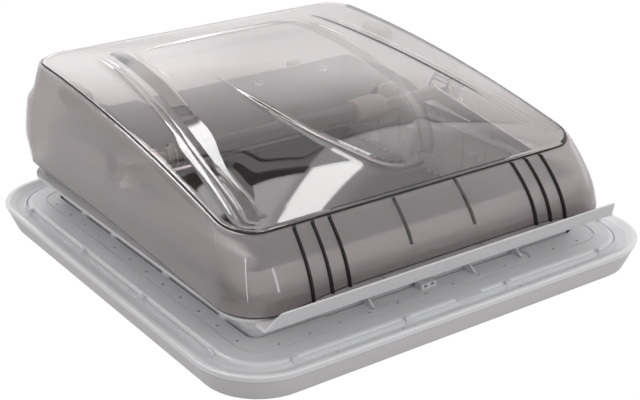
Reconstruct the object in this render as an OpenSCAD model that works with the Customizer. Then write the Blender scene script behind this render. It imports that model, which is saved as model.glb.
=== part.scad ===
// Caravan roof vent: a smoked dome hinged on a roof frame, and the ceiling frame below the roof.
// Millimetres. Origin: centre of the ceiling frame's room face. X to the right, Y to the hinges, Z up.

/* [Ceiling bezel] */
// Half width of the rim at its outer edge
rim_half = 257.5; // [255:0.5:275]
// Height of the rim lip over the room face
rim_h = 28.5; // [28:0.1:30]
// How far the skirt flares outwards from the room face to the rim
skirt_flare = 11.5; // [6:0.5:14]
// Outer corner radius of the rim
rim_corner = 66; // [56:1:76]
// Width of the lip along the rim
lip_w = 10.3; // [8:0.1:11]
// Moulded wall of the ceiling bezel
bezel_wall = 2.6; // [2:0.1:3]
// Thickness of the room face
face_t = 3; // [2:0.1:4]
// How far the opening in the room face lies inside the skirt's foot
opening_inset = 56; // [55:0.5:66]
// Corner radius of the opening in the room face
opening_corner = 14; // [8:1:24]

/* [Deck] */
// Height of the deck's top over the room face
deck_z = 27.3; // [26.8:0.1:28]
// Width of the gutter's floor between the lip and the deck
gutter_w = 12.5; // [9:0.1:15]
// Corner radius of the deck
deck_corner = 44; // [36:1:56]
// Thickness of the deck plate and its outer wall
deck_t = 2.8; // [2.2:0.1:3.2]
// Depth of the gutter between the lip and the deck
gutter_depth = 5.7; // [4.5:0.1:7]
// How far the deck reaches in under the neck
deck_overlap = 1; // [0:0.1:2]
// Corner radius of the opening in the deck
deck_open_corner = 11; // [6:1:18]
// Distance of the hole rows from the deck's edge
hole_edge = 24.6; // [22:0.1:27]
// Pitch of the holes in a row
hole_pitch = 33; // [28:0.5:34]
// Holes in a row
hole_count = 12; // [6:1:12]
// Diameter of the holes in the rows
hole_d = 3.2; // [2:0.1:4]
// Distance of the seam line from the deck's edge
seam_edge = 18; // [12:0.5:20]
// Length of a snap tab
tab_len = 6; // [4:0.5:12]
// Diameter of the drain holes in the gutter's floor along the front
drain_d = 4; // [2.5:0.1:5]
// Half width of the recess behind the front edge of the deck opening
pocket_half = 120; // [90:1:140]
// Depth of that recess
pocket_depth = 1.4; // [0.6:0.1:1.8]

/* [Roof frame] */
// How far the neck, which passes through the roof, lies inside the rim
neck_inset = 59.5; // [58.5:0.1:60.5]
// How far the neck sits behind the centre of the ceiling frame
neck_shift = 8; // [6:0.5:9]
// Outer corner radius of the neck
neck_corner = 13; // [11:0.5:13]
// Wall of the neck and its upstand
neck_t = 3; // [2.4:0.1:3.4]
// Height of the neck's lower edge
neck_z = 36; // [32:0.5:42]
// Height of the flange's underside, which lies on the roof
flange_z = 55; // [54:0.5:56]
// Thickness of the flange
flange_t = 3; // [2.5:0.1:3.2]
// Width of the flange outside the neck
flange_w = 22; // [20:0.5:23]
// Height of the upstand's top edge inside the dome
upstand_z = 90; // [86:0.5:92]
// Height of the upstand's top edge along the back
upstand_back_z = 115; // [104:0.5:118]
// Radius of the posts that stand on the deck
post_r = 5.2; // [4.5:0.1:5.6]
// Pitch of the stiffening ribs inside the neck
neck_rib_pitch = 38; // [20:1:45]
// Radius of the screws that hold the two frames together
screw_r = 2; // [1.6:0.1:2.2]

/* [Wind deflector] */
// How far the deflector's foot reaches past the neck at each end
deflector_reach = 10; // [0:0.5:16]
// Depth of the deflector's floor in front of the flange
deflector_floor = 15; // [11:0.5:16]
// Height of the deflector's top edge over the roof
deflector_h = 21; // [14:0.5:24]
// How far the deflector leans forward
deflector_lean = 12; // [6:0.5:14]
// How far each end slants in towards the top
deflector_slant = 11; // [4:0.5:16]
// Thickness of the deflector
deflector_t = 2.5; // [2:0.1:2.8]

/* [Dome] */
// Wall of the acrylic dome
dome_t = 3; // [2.5:0.1:3.2]
// How far the dome's lower edge lies beside the neck at the front
base_front_out = 26; // [24:0.5:29]
// How far the dome's lower edge lies beside the neck at the back
base_back_out = 20; // [19:0.5:23]
// How far the dome's lower edge lies in front of the neck
base_ahead = 27; // [26:0.5:28]
// How far the dome's lower edge lies behind the neck
base_behind = 44; // [43:0.5:45]
// Height of the lower edge in the middle of the front
base_front_z = 67; // [65:0.5:68]
// Height of the lower edge at the front corners
base_corner_z = 59.5; // [59:0.5:61]
// Height of the lower edge along the back
base_back_z = 69.3; // [68.8:0.1:69.6]
// How far the upper crease lies inside the lower edge at the front corners
crease_front_in = 16; // [13:0.5:19]
// How far the upper crease lies inside the lower edge at the back corners
crease_back_in = 15; // [11:0.5:18]
// How far the upper crease lies behind the front of the lower edge
crease_front_set = 35; // [31:0.5:39]
// How far the upper crease lies in front of the back of the lower edge
crease_back_set = 15; // [13:0.5:19]
// Height of the crease at the front
crease_front_z = 119.5; // [118:0.5:124]
// Height of the crease at the back
crease_back_z = 175; // [172:0.5:182]
// Step up from the crease to the top panel
panel_step = 3.2; // [1:0.1:5]
// Crown of the top panel over its edge
crown_h = 13; // [8:0.5:18]
// Outward bulge of the front wall
front_bulge = 7; // [4:0.5:8]
// Outward bulge of the back wall
back_bulge = 12; // [8:0.5:12.5]
// Outward bulge of the side walls
side_bulge = 4; // [2:0.5:5]
// How far the front ribs stand out
rib_h = 2.4; // [1:0.1:3]
// Width of a front rib
rib_w = 2.4; // [2:0.1:5]
// Height of the two long beads along the sides of the top panel
bead_h = 2.4; // [0.5:0.1:4]
// Height of the tongue in the middle of the top panel
tongue_h = 2.6; // [0.5:0.1:4]

/* [Seal and rim] */
// Distance from the neck to the seal
seal_gap = 7; // [5:0.5:8]
// Width of the seal
seal_w = 6; // [4:0.5:7]
// Height of the rim ring's underside, which presses on the seal
dome_rim_z = 70; // [69.8:0.1:71]
// Thickness of the rim ring
dome_rim_t = 3; // [2:0.1:3.5]

/* [Hinges] */
// How far each hinge lies inside the neck's side
hinge_inset = 51; // [40:1:78]
// How far the hinge axis lies behind the neck
hinge_behind = 42; // [41:0.5:43]
// Height of the hinge axis
hinge_z = 63; // [62.8:0.1:63.4]
// Radius of the hinge pins
hinge_pin_r = 2.5; // [2:0.1:3]
// Length of a hinge barrel
barrel_len = 20; // [14:1:26]
// Radius of a hinge barrel
barrel_r = 5; // [4.4:0.1:5.2]
// Thickness of an ear of the hinge
ear_t = 5; // [3:0.5:7]
// Height of the hinge arm's upper end
arm_top_z = 104; // [96:1:112]
// Thickness of the hinge arm
arm_t = 4; // [3:0.1:5]
// Width of the rounded cover high on each side wall
cover_w = 20; // [16:0.5:20]
// Length of that cover along the wall
cover_len = 46; // [36:1:56]
// Height of that cover
cover_h = 14; // [10:0.5:16]
// How far that cover lies in front of the neck's back
cover_ahead = 63; // [55:1:75]
// How far that cover's top lies under the dome's crease
cover_below = 5.5; // [5:0.1:9]

/* [Lift bow] */
// Place of the bow's axis along Y
bow_y = 25; // [20:0.5:30]
// Height of the bow's axis
bow_z = 119; // [116:0.5:122]
// How far a closed glide lies behind the neck's front
glide_front = 21.9; // [20:0.1:24]
// Height of the glide in its rail
rail_z = 92; // [91:0.1:93]
// Clear way from the side arms' inner face to the neck's wall
side_arm_gap = 13; // [12:0.5:17]
// Thickness of a side arm
side_arm_t = 3.2; // [2.5:0.1:3.5]
// How far the cross bar reaches to the right, into the knuckle
bar_right = 70; // [50:1:72]
// How far the cross bar reaches to the left, to its end collar
bar_left = 150; // [120:1:152]
// Height of the cross bar's section
bar_h = 19; // [15:0.5:21]
// Depth of the cross bar's section
bar_d = 12; // [10:0.5:14]
// Length of the right knuckle
knuckle_len = 41; // [36:1:42]
// Height and depth of the right knuckle
knuckle_h = 28; // [24:0.5:30]
// Height of the straps between the knuckles and the side arms
strap_h = 14; // [12:0.5:16]
// Radius of the pivot pins
pivot_r = 4; // [3:0.1:5]
// Radius of the dark hub cap on the right
hub_r = 17; // [12:0.5:18]
// Width of the right release button
button_w = 25; // [18:0.5:26]
// Height of the right release button
button_h = 45; // [30:0.5:46]
// Travel of a release button
button_travel = 3; // [2:0.1:3]
// Radius of the glides
glide_r = 4.5; // [4:0.1:5]
// Clear height of the rail's channel
channel_h = 13; // [12:0.1:14]
// Wall of the guide rail
rail_t = 2.2; // [1.8:0.1:2.4]
// Depth of the guide rail
rail_d = 9; // [8.4:0.1:9.4]
// How far the guide rail runs past the bow's axis
rail_behind = 21; // [17:1:35]
// Width of the clear bracket along Y
bracket_w = 30; // [24:1:34]
// Wall of the clear bracket
bracket_t = 2.6; // [2:0.1:3]

/* [Blind and screen] */
// Height of the upper shelf, on which the blind's rail runs
blind_z = 13.8; // [13:0.1:14.2]
// Height of the lower shelf, on which the screen's rail runs
screen_z = 5; // [4.5:0.1:5.4]
// Height of a pull rail
pull_h = 7; // [5:0.1:7.2]
// Width of a pull rail
pull_w = 22; // [16:1:28]
// How far the webs of the side tracks lie outside the neck
track_out = 6; // [5:0.5:8]
// Distance of a closed pull rail's middle from the end of its track
pull_rest = 44; // [40:1:51]
// Pitch of the pleats
pleat_pitch = 12; // [8:0.5:18]
// Height of the pleats
pleat_h = 4.6; // [2:0.1:5]
// Thickness of the pleated cloth
cloth_t = 0.6; // [0.4:0.1:1]

/* [Hidden] */

// Fits: a pin in its bore, and a sliding piece beside its guide
pin_play = 0.05;
slide_play = 0.3;
// What a cut reaches past a face
past = 1;
round_fn = 64;

// Ceiling bezel
foot_half = rim_half - skirt_flare;
opening_half = foot_half - opening_inset;
gutter_z = deck_z - gutter_depth;
gutter_bank = 2.7;
drain_x = [-144, -71, 71, 144];
drain_edge = 5;
gutter_out = rim_half - lip_w - gutter_bank;
deck_half = gutter_out - gutter_w;
shelf_in = deck_half - 5;
hole_row = deck_half - hole_edge;
seam_half = deck_half - seam_edge;
neck_half = rim_half - neck_inset;
deflector_half = neck_half + deflector_reach;
deck_open_half = neck_half - deck_overlap;
function skirt_half(z) = foot_half + skirt_flare * z / rim_h;
lip_round = 0.8;

// Deck lugs, posts and screws
post_x = neck_half - neck_t - 2.8;
post_y = [for (k = [0.712, 0.379, -0.167, -0.692]) k * neck_half];
lug_r = post_r + 2.8;
screw_len = 22;
screw_head_r = 3.8;
screw_head_h = 2.6;
tab_y = [for (k = [-0.793, -0.263, 0.263, 0.793]) k * deck_half];
neck_front_y = neck_shift - neck_half;
neck_back_y = neck_shift + neck_half;
flange_top = flange_z + flange_t;
post_top = flange_top + 4;
gusset_x = [-73, 50, 111];
gusset_t = 2.4;
pocket_w = 15;

// Guide rails
rail_out_x = neck_half - neck_t;
rail_in_x = rail_out_x - rail_d;
glide_drop = 0.6;
channel_bottom = rail_z - glide_r - glide_drop - 0.9;
channel_top = channel_bottom + channel_h;
rail_top = channel_top + rail_t;
rail_bottom = channel_bottom - rail_t;
glide_y = neck_front_y + glide_front;
side_arm_len = norm([bow_y - glide_y, bow_z - rail_z]);
arm_dip = asin((bow_z - rail_z) / side_arm_len);
side_arm_x = neck_half - neck_t - side_arm_gap;
rail_cap = 3;
rail_front_y = glide_y - glide_r - rail_cap - 0.9;
rail_back_y = bow_y + rail_behind;
back_rise = 45;
rail_screw_r = 1.5;
rail_screw_y = [for (k = [0:2]) rail_front_y + 20 + k * (rail_back_y - rail_front_y - 40) / 2];
rail_screw_head = 1.2;
glide_out_x = rail_out_x - rail_t - rail_screw_head - slide_play;

// Hinges
hinge_x = neck_half - hinge_inset;
hinge_y = neck_back_y + hinge_behind;
ear_x = barrel_len / 2 + slide_play;
ear_r = barrel_r;
tongue_back_y = hinge_y + ear_r + 1;

// Dome: loops of points with the same count, one above the other
base_front_half = neck_half + base_front_out;
base_back_half = neck_half + base_back_out;
base_front_y = neck_front_y - base_ahead;
base_back_y = neck_back_y + base_behind;
crease_front_half = base_front_half - crease_front_in;
crease_back_half = base_back_half - crease_back_in;
crease_front_y = base_front_y + crease_front_set;
crease_back_y = base_back_y - crease_back_set;
corner_n = 6;
side_n = 12;
back_n = 9;
triple_x = [112, 131, 151];
pair_x = 38;
rib_flank = 1.2;
function rib_edges(c) = [c - rib_w / 2 - rib_flank, c - rib_w / 2, c + rib_w / 2, c + rib_w / 2 + rib_flank];
right_x = concat([18], rib_edges(pair_x), [58, 76, 94], [for (c = triple_x) each rib_edges(c)]);
front_x = concat([for (k = [len(right_x) - 1:-1:0]) -right_x[k]], [0], right_x);
base_q = 0.2;
crease_q = 0.16;
front_reach = base_front_half * (1 - base_q);
function on_triple(x) = max([for (c = triple_x) abs(abs(x) - c) < rib_w / 2 + 0.01 ? 1 : 0]);
function on_pair(x) = abs(abs(x) - pair_x) < rib_w / 2 + 0.01 ? 1 : 0;
function clamp01(v) = min(1, max(0, v));
function smooth01(v) = let (c = clamp01(v)) c * c * (3 - 2 * c);

function unit_arc(cx, cy, q, a0) =
    [for (k = [0:corner_n]) let (a = a0 + 90 * k / corner_n) [cx + q * cos(a), cy + q * sin(a)]];
function spread(k, n) = 2 * k / (n + 1) - 1;
// A rounded square of half size 1, from the front left corner round to the right
function unit_loop(q) = concat(
    [for (x = front_x) [x / front_reach * (1 - q), -1]],
    unit_arc(1 - q, -1 + q, q, -90),
    [for (k = [1:side_n]) [1, (1 - q) * spread(k, side_n)]],
    unit_arc(1 - q, 1 - q, q, 0),
    [for (k = [1:back_n]) [-(1 - q) * spread(k, back_n), 1]],
    unit_arc(-1 + q, 1 - q, q, 90),
    [for (k = [1:side_n]) [-1, -(1 - q) * spread(k, side_n)]],
    unit_arc(-1 + q, -1 + q, q, 180));
// A loop in plan: half widths at front and back, front and back ends, power of the taper, bow of the front
function plan_loop(q, wf, wb, yf, yb, power, bow) =
    [for (p = unit_loop(q))
        let (share = (1 - p.y) / 2,
             w = wb + (wf - wb) * pow(share, power),
             y = yb + (yf - yb) * share - bow * (1 - p.x * p.x) * pow(max(0, -p.y), 4))
        [p.x * w, y]];

function crease_z(y) =
    let (u = clamp01((y - crease_front_y) / (crease_back_y - crease_front_y)))
    crease_front_z + (crease_back_z - crease_front_z) * (1 - pow(1 - u, 1.85));
function base_z(x, y) =
    let (along = smooth01((y - base_front_y) / 300),
         side = base_corner_z + (base_back_z - base_corner_z) * along,
         middle = y < 0 ? base_front_z : base_back_z)
    middle + (side - middle) * smooth01((abs(x) - 110) / 90);
crown_y = (crease_front_y + crease_back_y) / 2;
crown_reach = (crease_back_y - crease_front_y) / 2 + 3.5;
function top_z(x, y) =
    let (across = clamp01(1 - pow(x / crease_front_half, 2)),
         along = clamp01(1 - pow((y - crown_y) / crown_reach, 2)))
    crease_z(y) + panel_step + crown_h * across * along;

base_loop = plan_loop(base_q, base_front_half, base_back_half, base_front_y, base_back_y, 1, 0);
crease_loop = plan_loop(crease_q, crease_front_half, crease_back_half, crease_front_y, crease_back_y, 1, 0);
ends = [for (p = unit_loop(base_q)) p.y];
loop_n = len(base_loop);

function outward(i) = let (d = base_loop[i] - crease_loop[i]) d / norm(d);
function bulge(i) =
    let (end_bulge = ends[i] < 0 ? front_bulge : back_bulge)
    side_bulge + (end_bulge - side_bulge) * pow(abs(ends[i]), 6);
// How far the wall lies outside its foot at share t of its height
function lean(i, t) = bulge(i) * 4 * t * (1 - t) - norm(base_loop[i] - crease_loop[i]) * t;
function rib_out(i, t) =
    i >= len(front_x) ? 0
    : rib_h * (on_triple(front_x[i]) + on_pair(front_x[i]) * smooth01((t - 0.16) / 0.4));
// A point of the wall at share t of its height, moved inwards by inset
function wall_point(i, t, inset, ribs) =
    let (b = base_loop[i],
         p = b + outward(i) * (lean(i, t) - inset + ribs * rib_out(i, t)),
         zb = base_z(b.x, b.y))
    [p.x, p.y, zb + (crease_z(crease_loop[i].y) - zb) * t];
// Share of the wall's height that lies at height z
function share_at(i, z) =
    let (zb = base_z(base_loop[i].x, base_loop[i].y))
    (z - zb) / (crease_z(crease_loop[i].y) - zb);
function wall_ring(t, inset, ribs) = [for (i = [0:loop_n - 1]) wall_point(i, t, inset, ribs)];

// Loops of the top panel: its foot and edge, the long side beads, the tongue
function inset_loop(d) = plan_loop(
    crease_q, crease_front_half - d, crease_back_half - d, crease_front_y + d, crease_back_y - d, 1, 0);
// A loop that lies inside the crease by these widths at its sides, front and back
function panel_loop(q, in_front, in_back, from_front, from_back, power, bow) = plan_loop(
    q, crease_front_half - in_front, crease_back_half - in_back,
    crease_front_y + from_front, crease_back_y - from_back, power, bow);
bead_foot = panel_loop(0.08, 10, 53, 10, 37, 1.5, 0);
bead_top = panel_loop(0.08, 15, 57, 15, 41, 1.5, 0);
bead_top_in = panel_loop(0.08, 27, 59.5, 19, 43.5, 1.5, 0);
bead_foot_in = panel_loop(0.08, 33, 63, 22, 47, 1.5, 0);
panel_middle = panel_loop(0.15, 96, 88, 39, 63, 1.5, 16);
tongue_foot = panel_loop(0.3, 171, 119, 54, 79, 2.2, 29);
tongue_edge = panel_loop(0.3, 177, 125, 60, 85, 2.2, 29);
tongue_heart = panel_loop(0.4, 196, 167, 122, 145, 2, 14);
bead_side = [for (p = unit_loop(0.08)) clamp01((abs(p.x) - 0.93) / 0.07)];
function tongue_fade(y) = smooth01((crease_back_y - 115 - y) / 90);

function lifted(loop, lift) = [for (p = loop) [p.x, p.y, top_z(p.x, p.y) + lift]];
function foot_ring(d, step) = [for (p = inset_loop(d)) [p.x, p.y, crease_z(p.y) + step]];
function bead_ring(loop) =
    [for (i = [0:loop_n - 1]) let (p = loop[i]) [p.x, p.y, top_z(p.x, p.y) + bead_h * bead_side[i]]];
function tongue_ring(loop) = [for (p = loop) [p.x, p.y, top_z(p.x, p.y) + tongue_h * tongue_fade(p.y)]];
outer_rings = concat(
    [for (t = [0, 0.14, 0.3, 0.48, 0.66, 0.84, 0.95, 1]) wall_ring(t, 0, t < 0.97 ? 1 : 0)],
    [foot_ring(3.5, 0.3), foot_ring(6, panel_step),
     lifted(bead_foot, 0), bead_ring(bead_top), bead_ring(bead_top_in), lifted(bead_foot_in, 0),
     lifted(panel_middle, 0), lifted(tongue_foot, 0), tongue_ring(tongue_edge), tongue_ring(tongue_heart)]);
inner_rings = concat(
    [for (t = [0, 0.14, 0.3, 0.48, 0.66, 0.84]) wall_ring(t, dome_t, 0)],
    [[for (p = wall_ring(0.97, dome_t, 0)) p - [0, 0, 1]]],
    [[for (p = foot_ring(7, panel_step)) p - [0, 0, dome_t]],
     lifted(bead_foot_in, -dome_t), lifted(panel_middle, -dome_t), lifted(tongue_foot, -dome_t),
     lifted(tongue_heart, -dome_t)]);

// Inner face of the dome's back wall at height z, and of its side wall at y and z
function back_face_y(z) =
    let (t = (z - base_back_z) / (crease_back_z - base_back_z))
    base_back_y + (crease_back_y - base_back_y) * t + back_bulge * 4 * t * (1 - t) - dome_t;
function side_face_x(y, z) =
    let (v = (y - base_front_y) / (base_back_y - base_front_y),
         low = base_front_half + (base_back_half - base_front_half) * v,
         high = crease_front_half + (crease_back_half - crease_front_half) * v,
         zb = base_z(low, y),
         t = (z - zb) / (crease_z(y) - zb))
    low + (high - low) * t + side_bulge * 4 * t * (1 - t) - dome_t;
wall_gap = 0.6;
function arm_face_y(z) = back_face_y(max(z, base_back_z)) - wall_gap;

// Lift bow, buttons: the right button is a tall plate, the left one is small and lies behind its strap
knuckle_end = bar_right + knuckle_len;
collar_len = 8;
strap_t = 8;
strap_back_y = bow_y + strap_t / 2;
button_t = 5;
button_y = strap_back_y + button_travel + 1;
button_drop = 3;
small_button = 12;
stem_r = 3;
stem_x = [bar_left + 15, knuckle_end + button_w / 2 + 2.5];
hub_t = 4;
hub_y = button_y + button_t + 6;
small_hub_r = 6;
bracket_in_x = side_arm_x + side_arm_t + 2;
bracket_half_h = 13;
pivot_out_x = bracket_in_x + 14;

// Blind and screen
shelf_t = 1.5;
track_web = 2.5;
track_half = neck_half + track_out;
track_shelf_in = track_half - 10;
track_end_y = deck_half - 16;
pull_stop = track_end_y - pull_rest;
pull_end = track_shelf_in + 2;
end_bar_w = 8;
end_bar_y = track_end_y - 2;
pleat_half = track_shelf_in - 1;

// Shapes that many pieces share
module rounded(w, d, r) {
    square([w - 2 * r, d], center = true);
    square([w, d - 2 * r], center = true);
    for (sx = [-1, 1], sy = [-1, 1])
        translate([sx * (w / 2 - r), sy * (d / 2 - r)]) circle(r = r, $fn = round_fn);
}
// A profile of (y, z) drawn out along X
module along_x(x0, x1) {
    translate([x0, 0, 0]) rotate([90, 0, 90]) linear_extrude(x1 - x0) children();
}
// A profile of (x, z) drawn out along Y
module along_y(y0, y1) {
    translate([0, y1, 0]) rotate([90, 0, 0]) linear_extrude(y1 - y0) children();
}
// A profile of (distance from the centre, z) led round a square with rounded corners
module square_ring(half, corner) {
    straight = half - corner;
    for (k = [0:3]) rotate(90 * k) {
        along_y(-straight, straight) children();
        translate([straight, straight, 0])
            rotate_extrude(angle = 90, $fn = round_fn) translate([-straight, 0]) children();
    }
}
module x_rod(x0, x1, y, z, r) {
    translate([x0, y, z]) rotate([0, 90, 0]) cylinder(r = r, h = x1 - x0, $fn = round_fn);
}
module at_posts() {
    for (sx = [-1, 1], y = post_y) translate([sx * post_x, y, 0]) children();
}
module sided(side) {
    mirror([side < 0 ? 1 : 0, 0, 0]) children();
}

// Ceiling side
module ceiling_bezel() {
    color("whitesmoke") difference() {
        union() {
            square_ring(rim_half, rim_corner) polygon([
                [foot_half, 0], [skirt_half(rim_h - lip_round), rim_h - lip_round],
                [rim_half - lip_round, rim_h], [rim_half - lip_w, rim_h],
                [gutter_out, gutter_z], [shelf_in, gutter_z],
                [shelf_in, gutter_z - bezel_wall], [gutter_out + bezel_wall, gutter_z - bezel_wall],
                [rim_half - lip_w + bezel_wall, rim_h - bezel_wall],
                [skirt_half(rim_h - bezel_wall) - bezel_wall, rim_h - bezel_wall],
                [foot_half - bezel_wall, 0]]);
            linear_extrude(face_t) difference() {
                rounded(2 * foot_half, 2 * foot_half, rim_corner - skirt_flare);
                rounded(2 * opening_half, 2 * opening_half, opening_corner);
            }
        }
        for (x = drain_x) translate([x, -deck_half - drain_edge, gutter_z - bezel_wall - past])
            cylinder(d = drain_d, h = bezel_wall + 2 * past, $fn = round_fn);
    }
}

module deck_outline() {
    chamfer = 2;
    difference() {
        union() {
            square_ring(deck_half, deck_corner) polygon([
                [deck_half - 8, deck_z - deck_t], [deck_half - 8, deck_z], [deck_half - chamfer, deck_z],
                [deck_half, deck_z - chamfer], [deck_half, gutter_z], [deck_half - deck_t, gutter_z],
                [deck_half - deck_t, deck_z - deck_t]]);
            translate([0, 0, deck_z - deck_t]) linear_extrude(deck_t)
                rounded(2 * (deck_half - chamfer), 2 * (deck_half - chamfer), deck_corner - chamfer);
        }
        translate([0, neck_shift, deck_z - deck_t - past]) linear_extrude(deck_t + 2 * past)
            rounded(2 * deck_open_half, 2 * deck_open_half, deck_open_corner);
    }
}

module deck_frame() {
    lip_tab = 4.5;
    front_lug_x = 14;
    front_y = neck_shift - deck_open_half;
    color("white") difference() {
        union() {
            deck_outline();
            at_posts() translate([0, 0, deck_z - deck_t]) cylinder(r = lug_r, h = deck_t, $fn = round_fn);
            for (k = [0:3], y = tab_y) rotate(90 * k)
                translate([deck_half - past, y - tab_len / 2, gutter_z])
                    cube([lip_tab + past, tab_len, gutter_depth - 0.6]);
            translate([front_lug_x, -deck_half, gutter_z]) linear_extrude(gutter_depth) rounded(30, 12, 5);
            for (x = gusset_x) along_x(x - gusset_t / 2, x + gusset_t / 2) polygon([
                [front_y - pocket_w, deck_z - pocket_depth], [front_y, deck_z - pocket_depth],
                [front_y, deck_z + 7], [front_y - 3, deck_z + 7]]);
            translate([-15, front_y - 11, deck_z - pocket_depth]) cube([18, 10, 6]);
        }
        for (s = [-1, 1], k = [0:hole_count - 1]) {
            place = (k - (hole_count - 1) / 2) * hole_pitch;
            translate([s * hole_row, place, gutter_z])
                cylinder(d = hole_d, h = gutter_depth + past, $fn = round_fn);
        }
        for (k = [0:hole_count - 1])
            translate([(k - (hole_count - 1) / 2) * hole_pitch, -hole_row, gutter_z])
                cylinder(d = hole_d, h = gutter_depth + past, $fn = round_fn);
        at_posts() translate([0, 0, deck_z - deck_t - past])
            cylinder(r = screw_r + 0.25, h = deck_t + 2 * past, $fn = round_fn);
        square_ring(seam_half, deck_corner - deck_half + seam_half)
            translate([seam_half - 0.6, deck_z - 0.8]) square([1.2, 2]);
        difference() {
            translate([-pocket_half, front_y - pocket_w, deck_z - pocket_depth])
                cube([2 * pocket_half, pocket_w + past, 2]);
            for (x = gusset_x) translate([x - gusset_t / 2, front_y - pocket_w, 0])
                cube([gusset_t, pocket_w + past, 60]);
            translate([-15, front_y - 11, 0]) cube([18, 10, 60]);
        }
        for (x = [-12, -4]) translate([x, front_y - 12, deck_z + 0.8]) cube([4, 12, 2.6]);
    }
}

// Roof side
module hinge_ears(side) {
    x = side * hinge_x;
    for (s = [-1, 1]) {
        near = s < 0 ? -ear_x - ear_t : ear_x;
        along_x(x + near, x + near + ear_t) {
            translate([hinge_y, hinge_z]) circle(r = ear_r, $fn = round_fn);
            translate([hinge_y - ear_r, flange_z]) square([2 * ear_r, hinge_z - flange_z]);
        }
    }
    half = ear_x + ear_t + 4;
    translate([x - half, neck_back_y + flange_w - past, flange_z])
        cube([2 * half, tongue_back_y - neck_back_y - flange_w + past, flange_t]);
}

module roof_frame() {
    inner = neck_half - neck_t;
    rib_d = 2.5;
    color("whitesmoke") difference() {
        union() {
            translate([0, neck_shift, 0]) square_ring(neck_half, neck_corner) polygon([
                [inner, neck_z], [neck_half, neck_z], [neck_half, flange_z],
                [neck_half + flange_w, flange_z], [neck_half + flange_w, flange_top],
                [neck_half, flange_top], [neck_half, upstand_z], [inner, upstand_z]]);
            at_posts() translate([0, 0, deck_z]) cylinder(r = post_r, h = post_top - deck_z, $fn = round_fn);
            for (s = [-1, 1], y = [20 - inner:neck_rib_pitch:inner - 20])
                translate([s * (inner - rib_d / 2), y + neck_shift, (neck_z + rail_bottom) / 2 - 1])
                    cube([rib_d + past, 2, rail_bottom - neck_z - 6], center = true);
            for (s = [-1, 1]) translate([s > 0 ? inner : -neck_half, rail_front_y, upstand_z - past])
                cube([neck_t, rail_back_y - rail_front_y, rail_top - upstand_z + past]);
            intersection() {
                translate([0, neck_shift, 0]) square_ring(neck_half, neck_corner)
                    translate([inner, upstand_z - past]) square([neck_t, upstand_back_z - upstand_z + past]);
                along_x(-neck_half - past, neck_half + past) polygon([
                    [rail_back_y - past, upstand_z - past], [rail_back_y - past, rail_top],
                    [rail_back_y + back_rise, upstand_back_z],
                    [neck_back_y + past, upstand_back_z], [neck_back_y + past, upstand_z - past]]);
            }
            for (s = [-1, 1]) hinge_ears(s);
        }
        at_posts() translate([0, 0, deck_z - past])
            cylinder(r = screw_r + pin_play, h = screw_len + past, $fn = round_fn);
        for (s = [-1, 1]) sided(s) x_rod(
            hinge_x - ear_x - ear_t - past, hinge_x + ear_x + ear_t + past, hinge_y, hinge_z,
            hinge_pin_r + pin_play);
        for (s = [-1, 1], y = rail_screw_y)
            sided(s) x_rod(inner - past, neck_half + past, y, rail_z, rail_screw_r + pin_play);
    }
}

module wind_deflector() {
    back_y = neck_front_y - flange_w;
    tip_y = back_y - deflector_floor;
    top_y = tip_y - deflector_lean;
    top_z = flange_z + deflector_h;
    color("whitesmoke") {
        intersection() {
            along_x(-deflector_half, deflector_half) polygon([
                [back_y, flange_z], [tip_y + 1, flange_z], [tip_y - 0.6, flange_z + 1],
                [top_y, top_z - 0.8], [top_y + 0.8, top_z], [top_y + deflector_t - 0.4, top_z - 0.6],
                [tip_y + deflector_t, flange_z + deflector_t], [back_y, flange_z + deflector_t]]);
            along_y(top_y - past, back_y + past) polygon([
                [-deflector_half, flange_z], [deflector_half, flange_z],
                [deflector_half - deflector_slant, top_z], [deflector_slant - deflector_half, top_z]]);
        }
        for (k = [-1, -0.4, 0.4, 1]) let (x = k * (neck_half - 48)) along_x(x - 8, x + 8) polygon([
            [back_y - 4, flange_z], [back_y, flange_z], [back_y, flange_top], [back_y + 6, flange_top],
            [back_y + 6, flange_top + 2], [back_y - 4, flange_top + 2]]);
    }
}

module frame_seal() {
    near = neck_half + seal_gap;
    far = near + seal_w;
    bevel = seal_w / 4;
    color("dimgray") translate([0, neck_shift, 0])
        square_ring(far, neck_corner + seal_gap + seal_w) polygon([
            [near, flange_top], [far, flange_top], [far, dome_rim_z - 3], [far - bevel, dome_rim_z],
            [near + bevel, dome_rim_z], [near, dome_rim_z - 3]]);
}

module frame_screws() {
    color("silver") at_posts() {
        translate([0, 0, deck_z - deck_t - screw_head_h])
            cylinder(r = screw_head_r, h = screw_head_h, $fn = round_fn);
        translate([0, 0, deck_z - deck_t]) cylinder(r = screw_r, h = deck_t + screw_len - 1, $fn = round_fn);
    }
}

module guide_rail(side) {
    sided(side) color("lightgray") difference() {
        union() {
            along_y(rail_front_y, rail_back_y) polygon([
                [rail_out_x, rail_bottom], [rail_out_x, rail_top],
                [rail_in_x, rail_top], [rail_in_x, channel_top],
                [rail_out_x - rail_t, channel_top], [rail_out_x - rail_t, channel_bottom],
                [rail_in_x, channel_bottom], [rail_in_x, rail_bottom]]);
            for (y = [rail_front_y, rail_back_y - rail_cap]) translate([rail_in_x, y, rail_bottom])
                cube([rail_d, rail_cap, rail_top - rail_bottom]);
        }
        for (y = rail_screw_y) x_rod(rail_in_x, rail_out_x + past, y, rail_z, rail_screw_r + pin_play);
    }
}
module guide_rail_left() { guide_rail(-1); }
module guide_rail_right() { guide_rail(1); }

module rail_screws() {
    seat = rail_out_x - rail_t;
    color("silver") for (s = [-1, 1], y = rail_screw_y) sided(s) {
        x_rod(seat - rail_screw_head, seat, y, rail_z, 3);
        x_rod(seat, neck_half, y, rail_z, rail_screw_r);
    }
}

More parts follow.
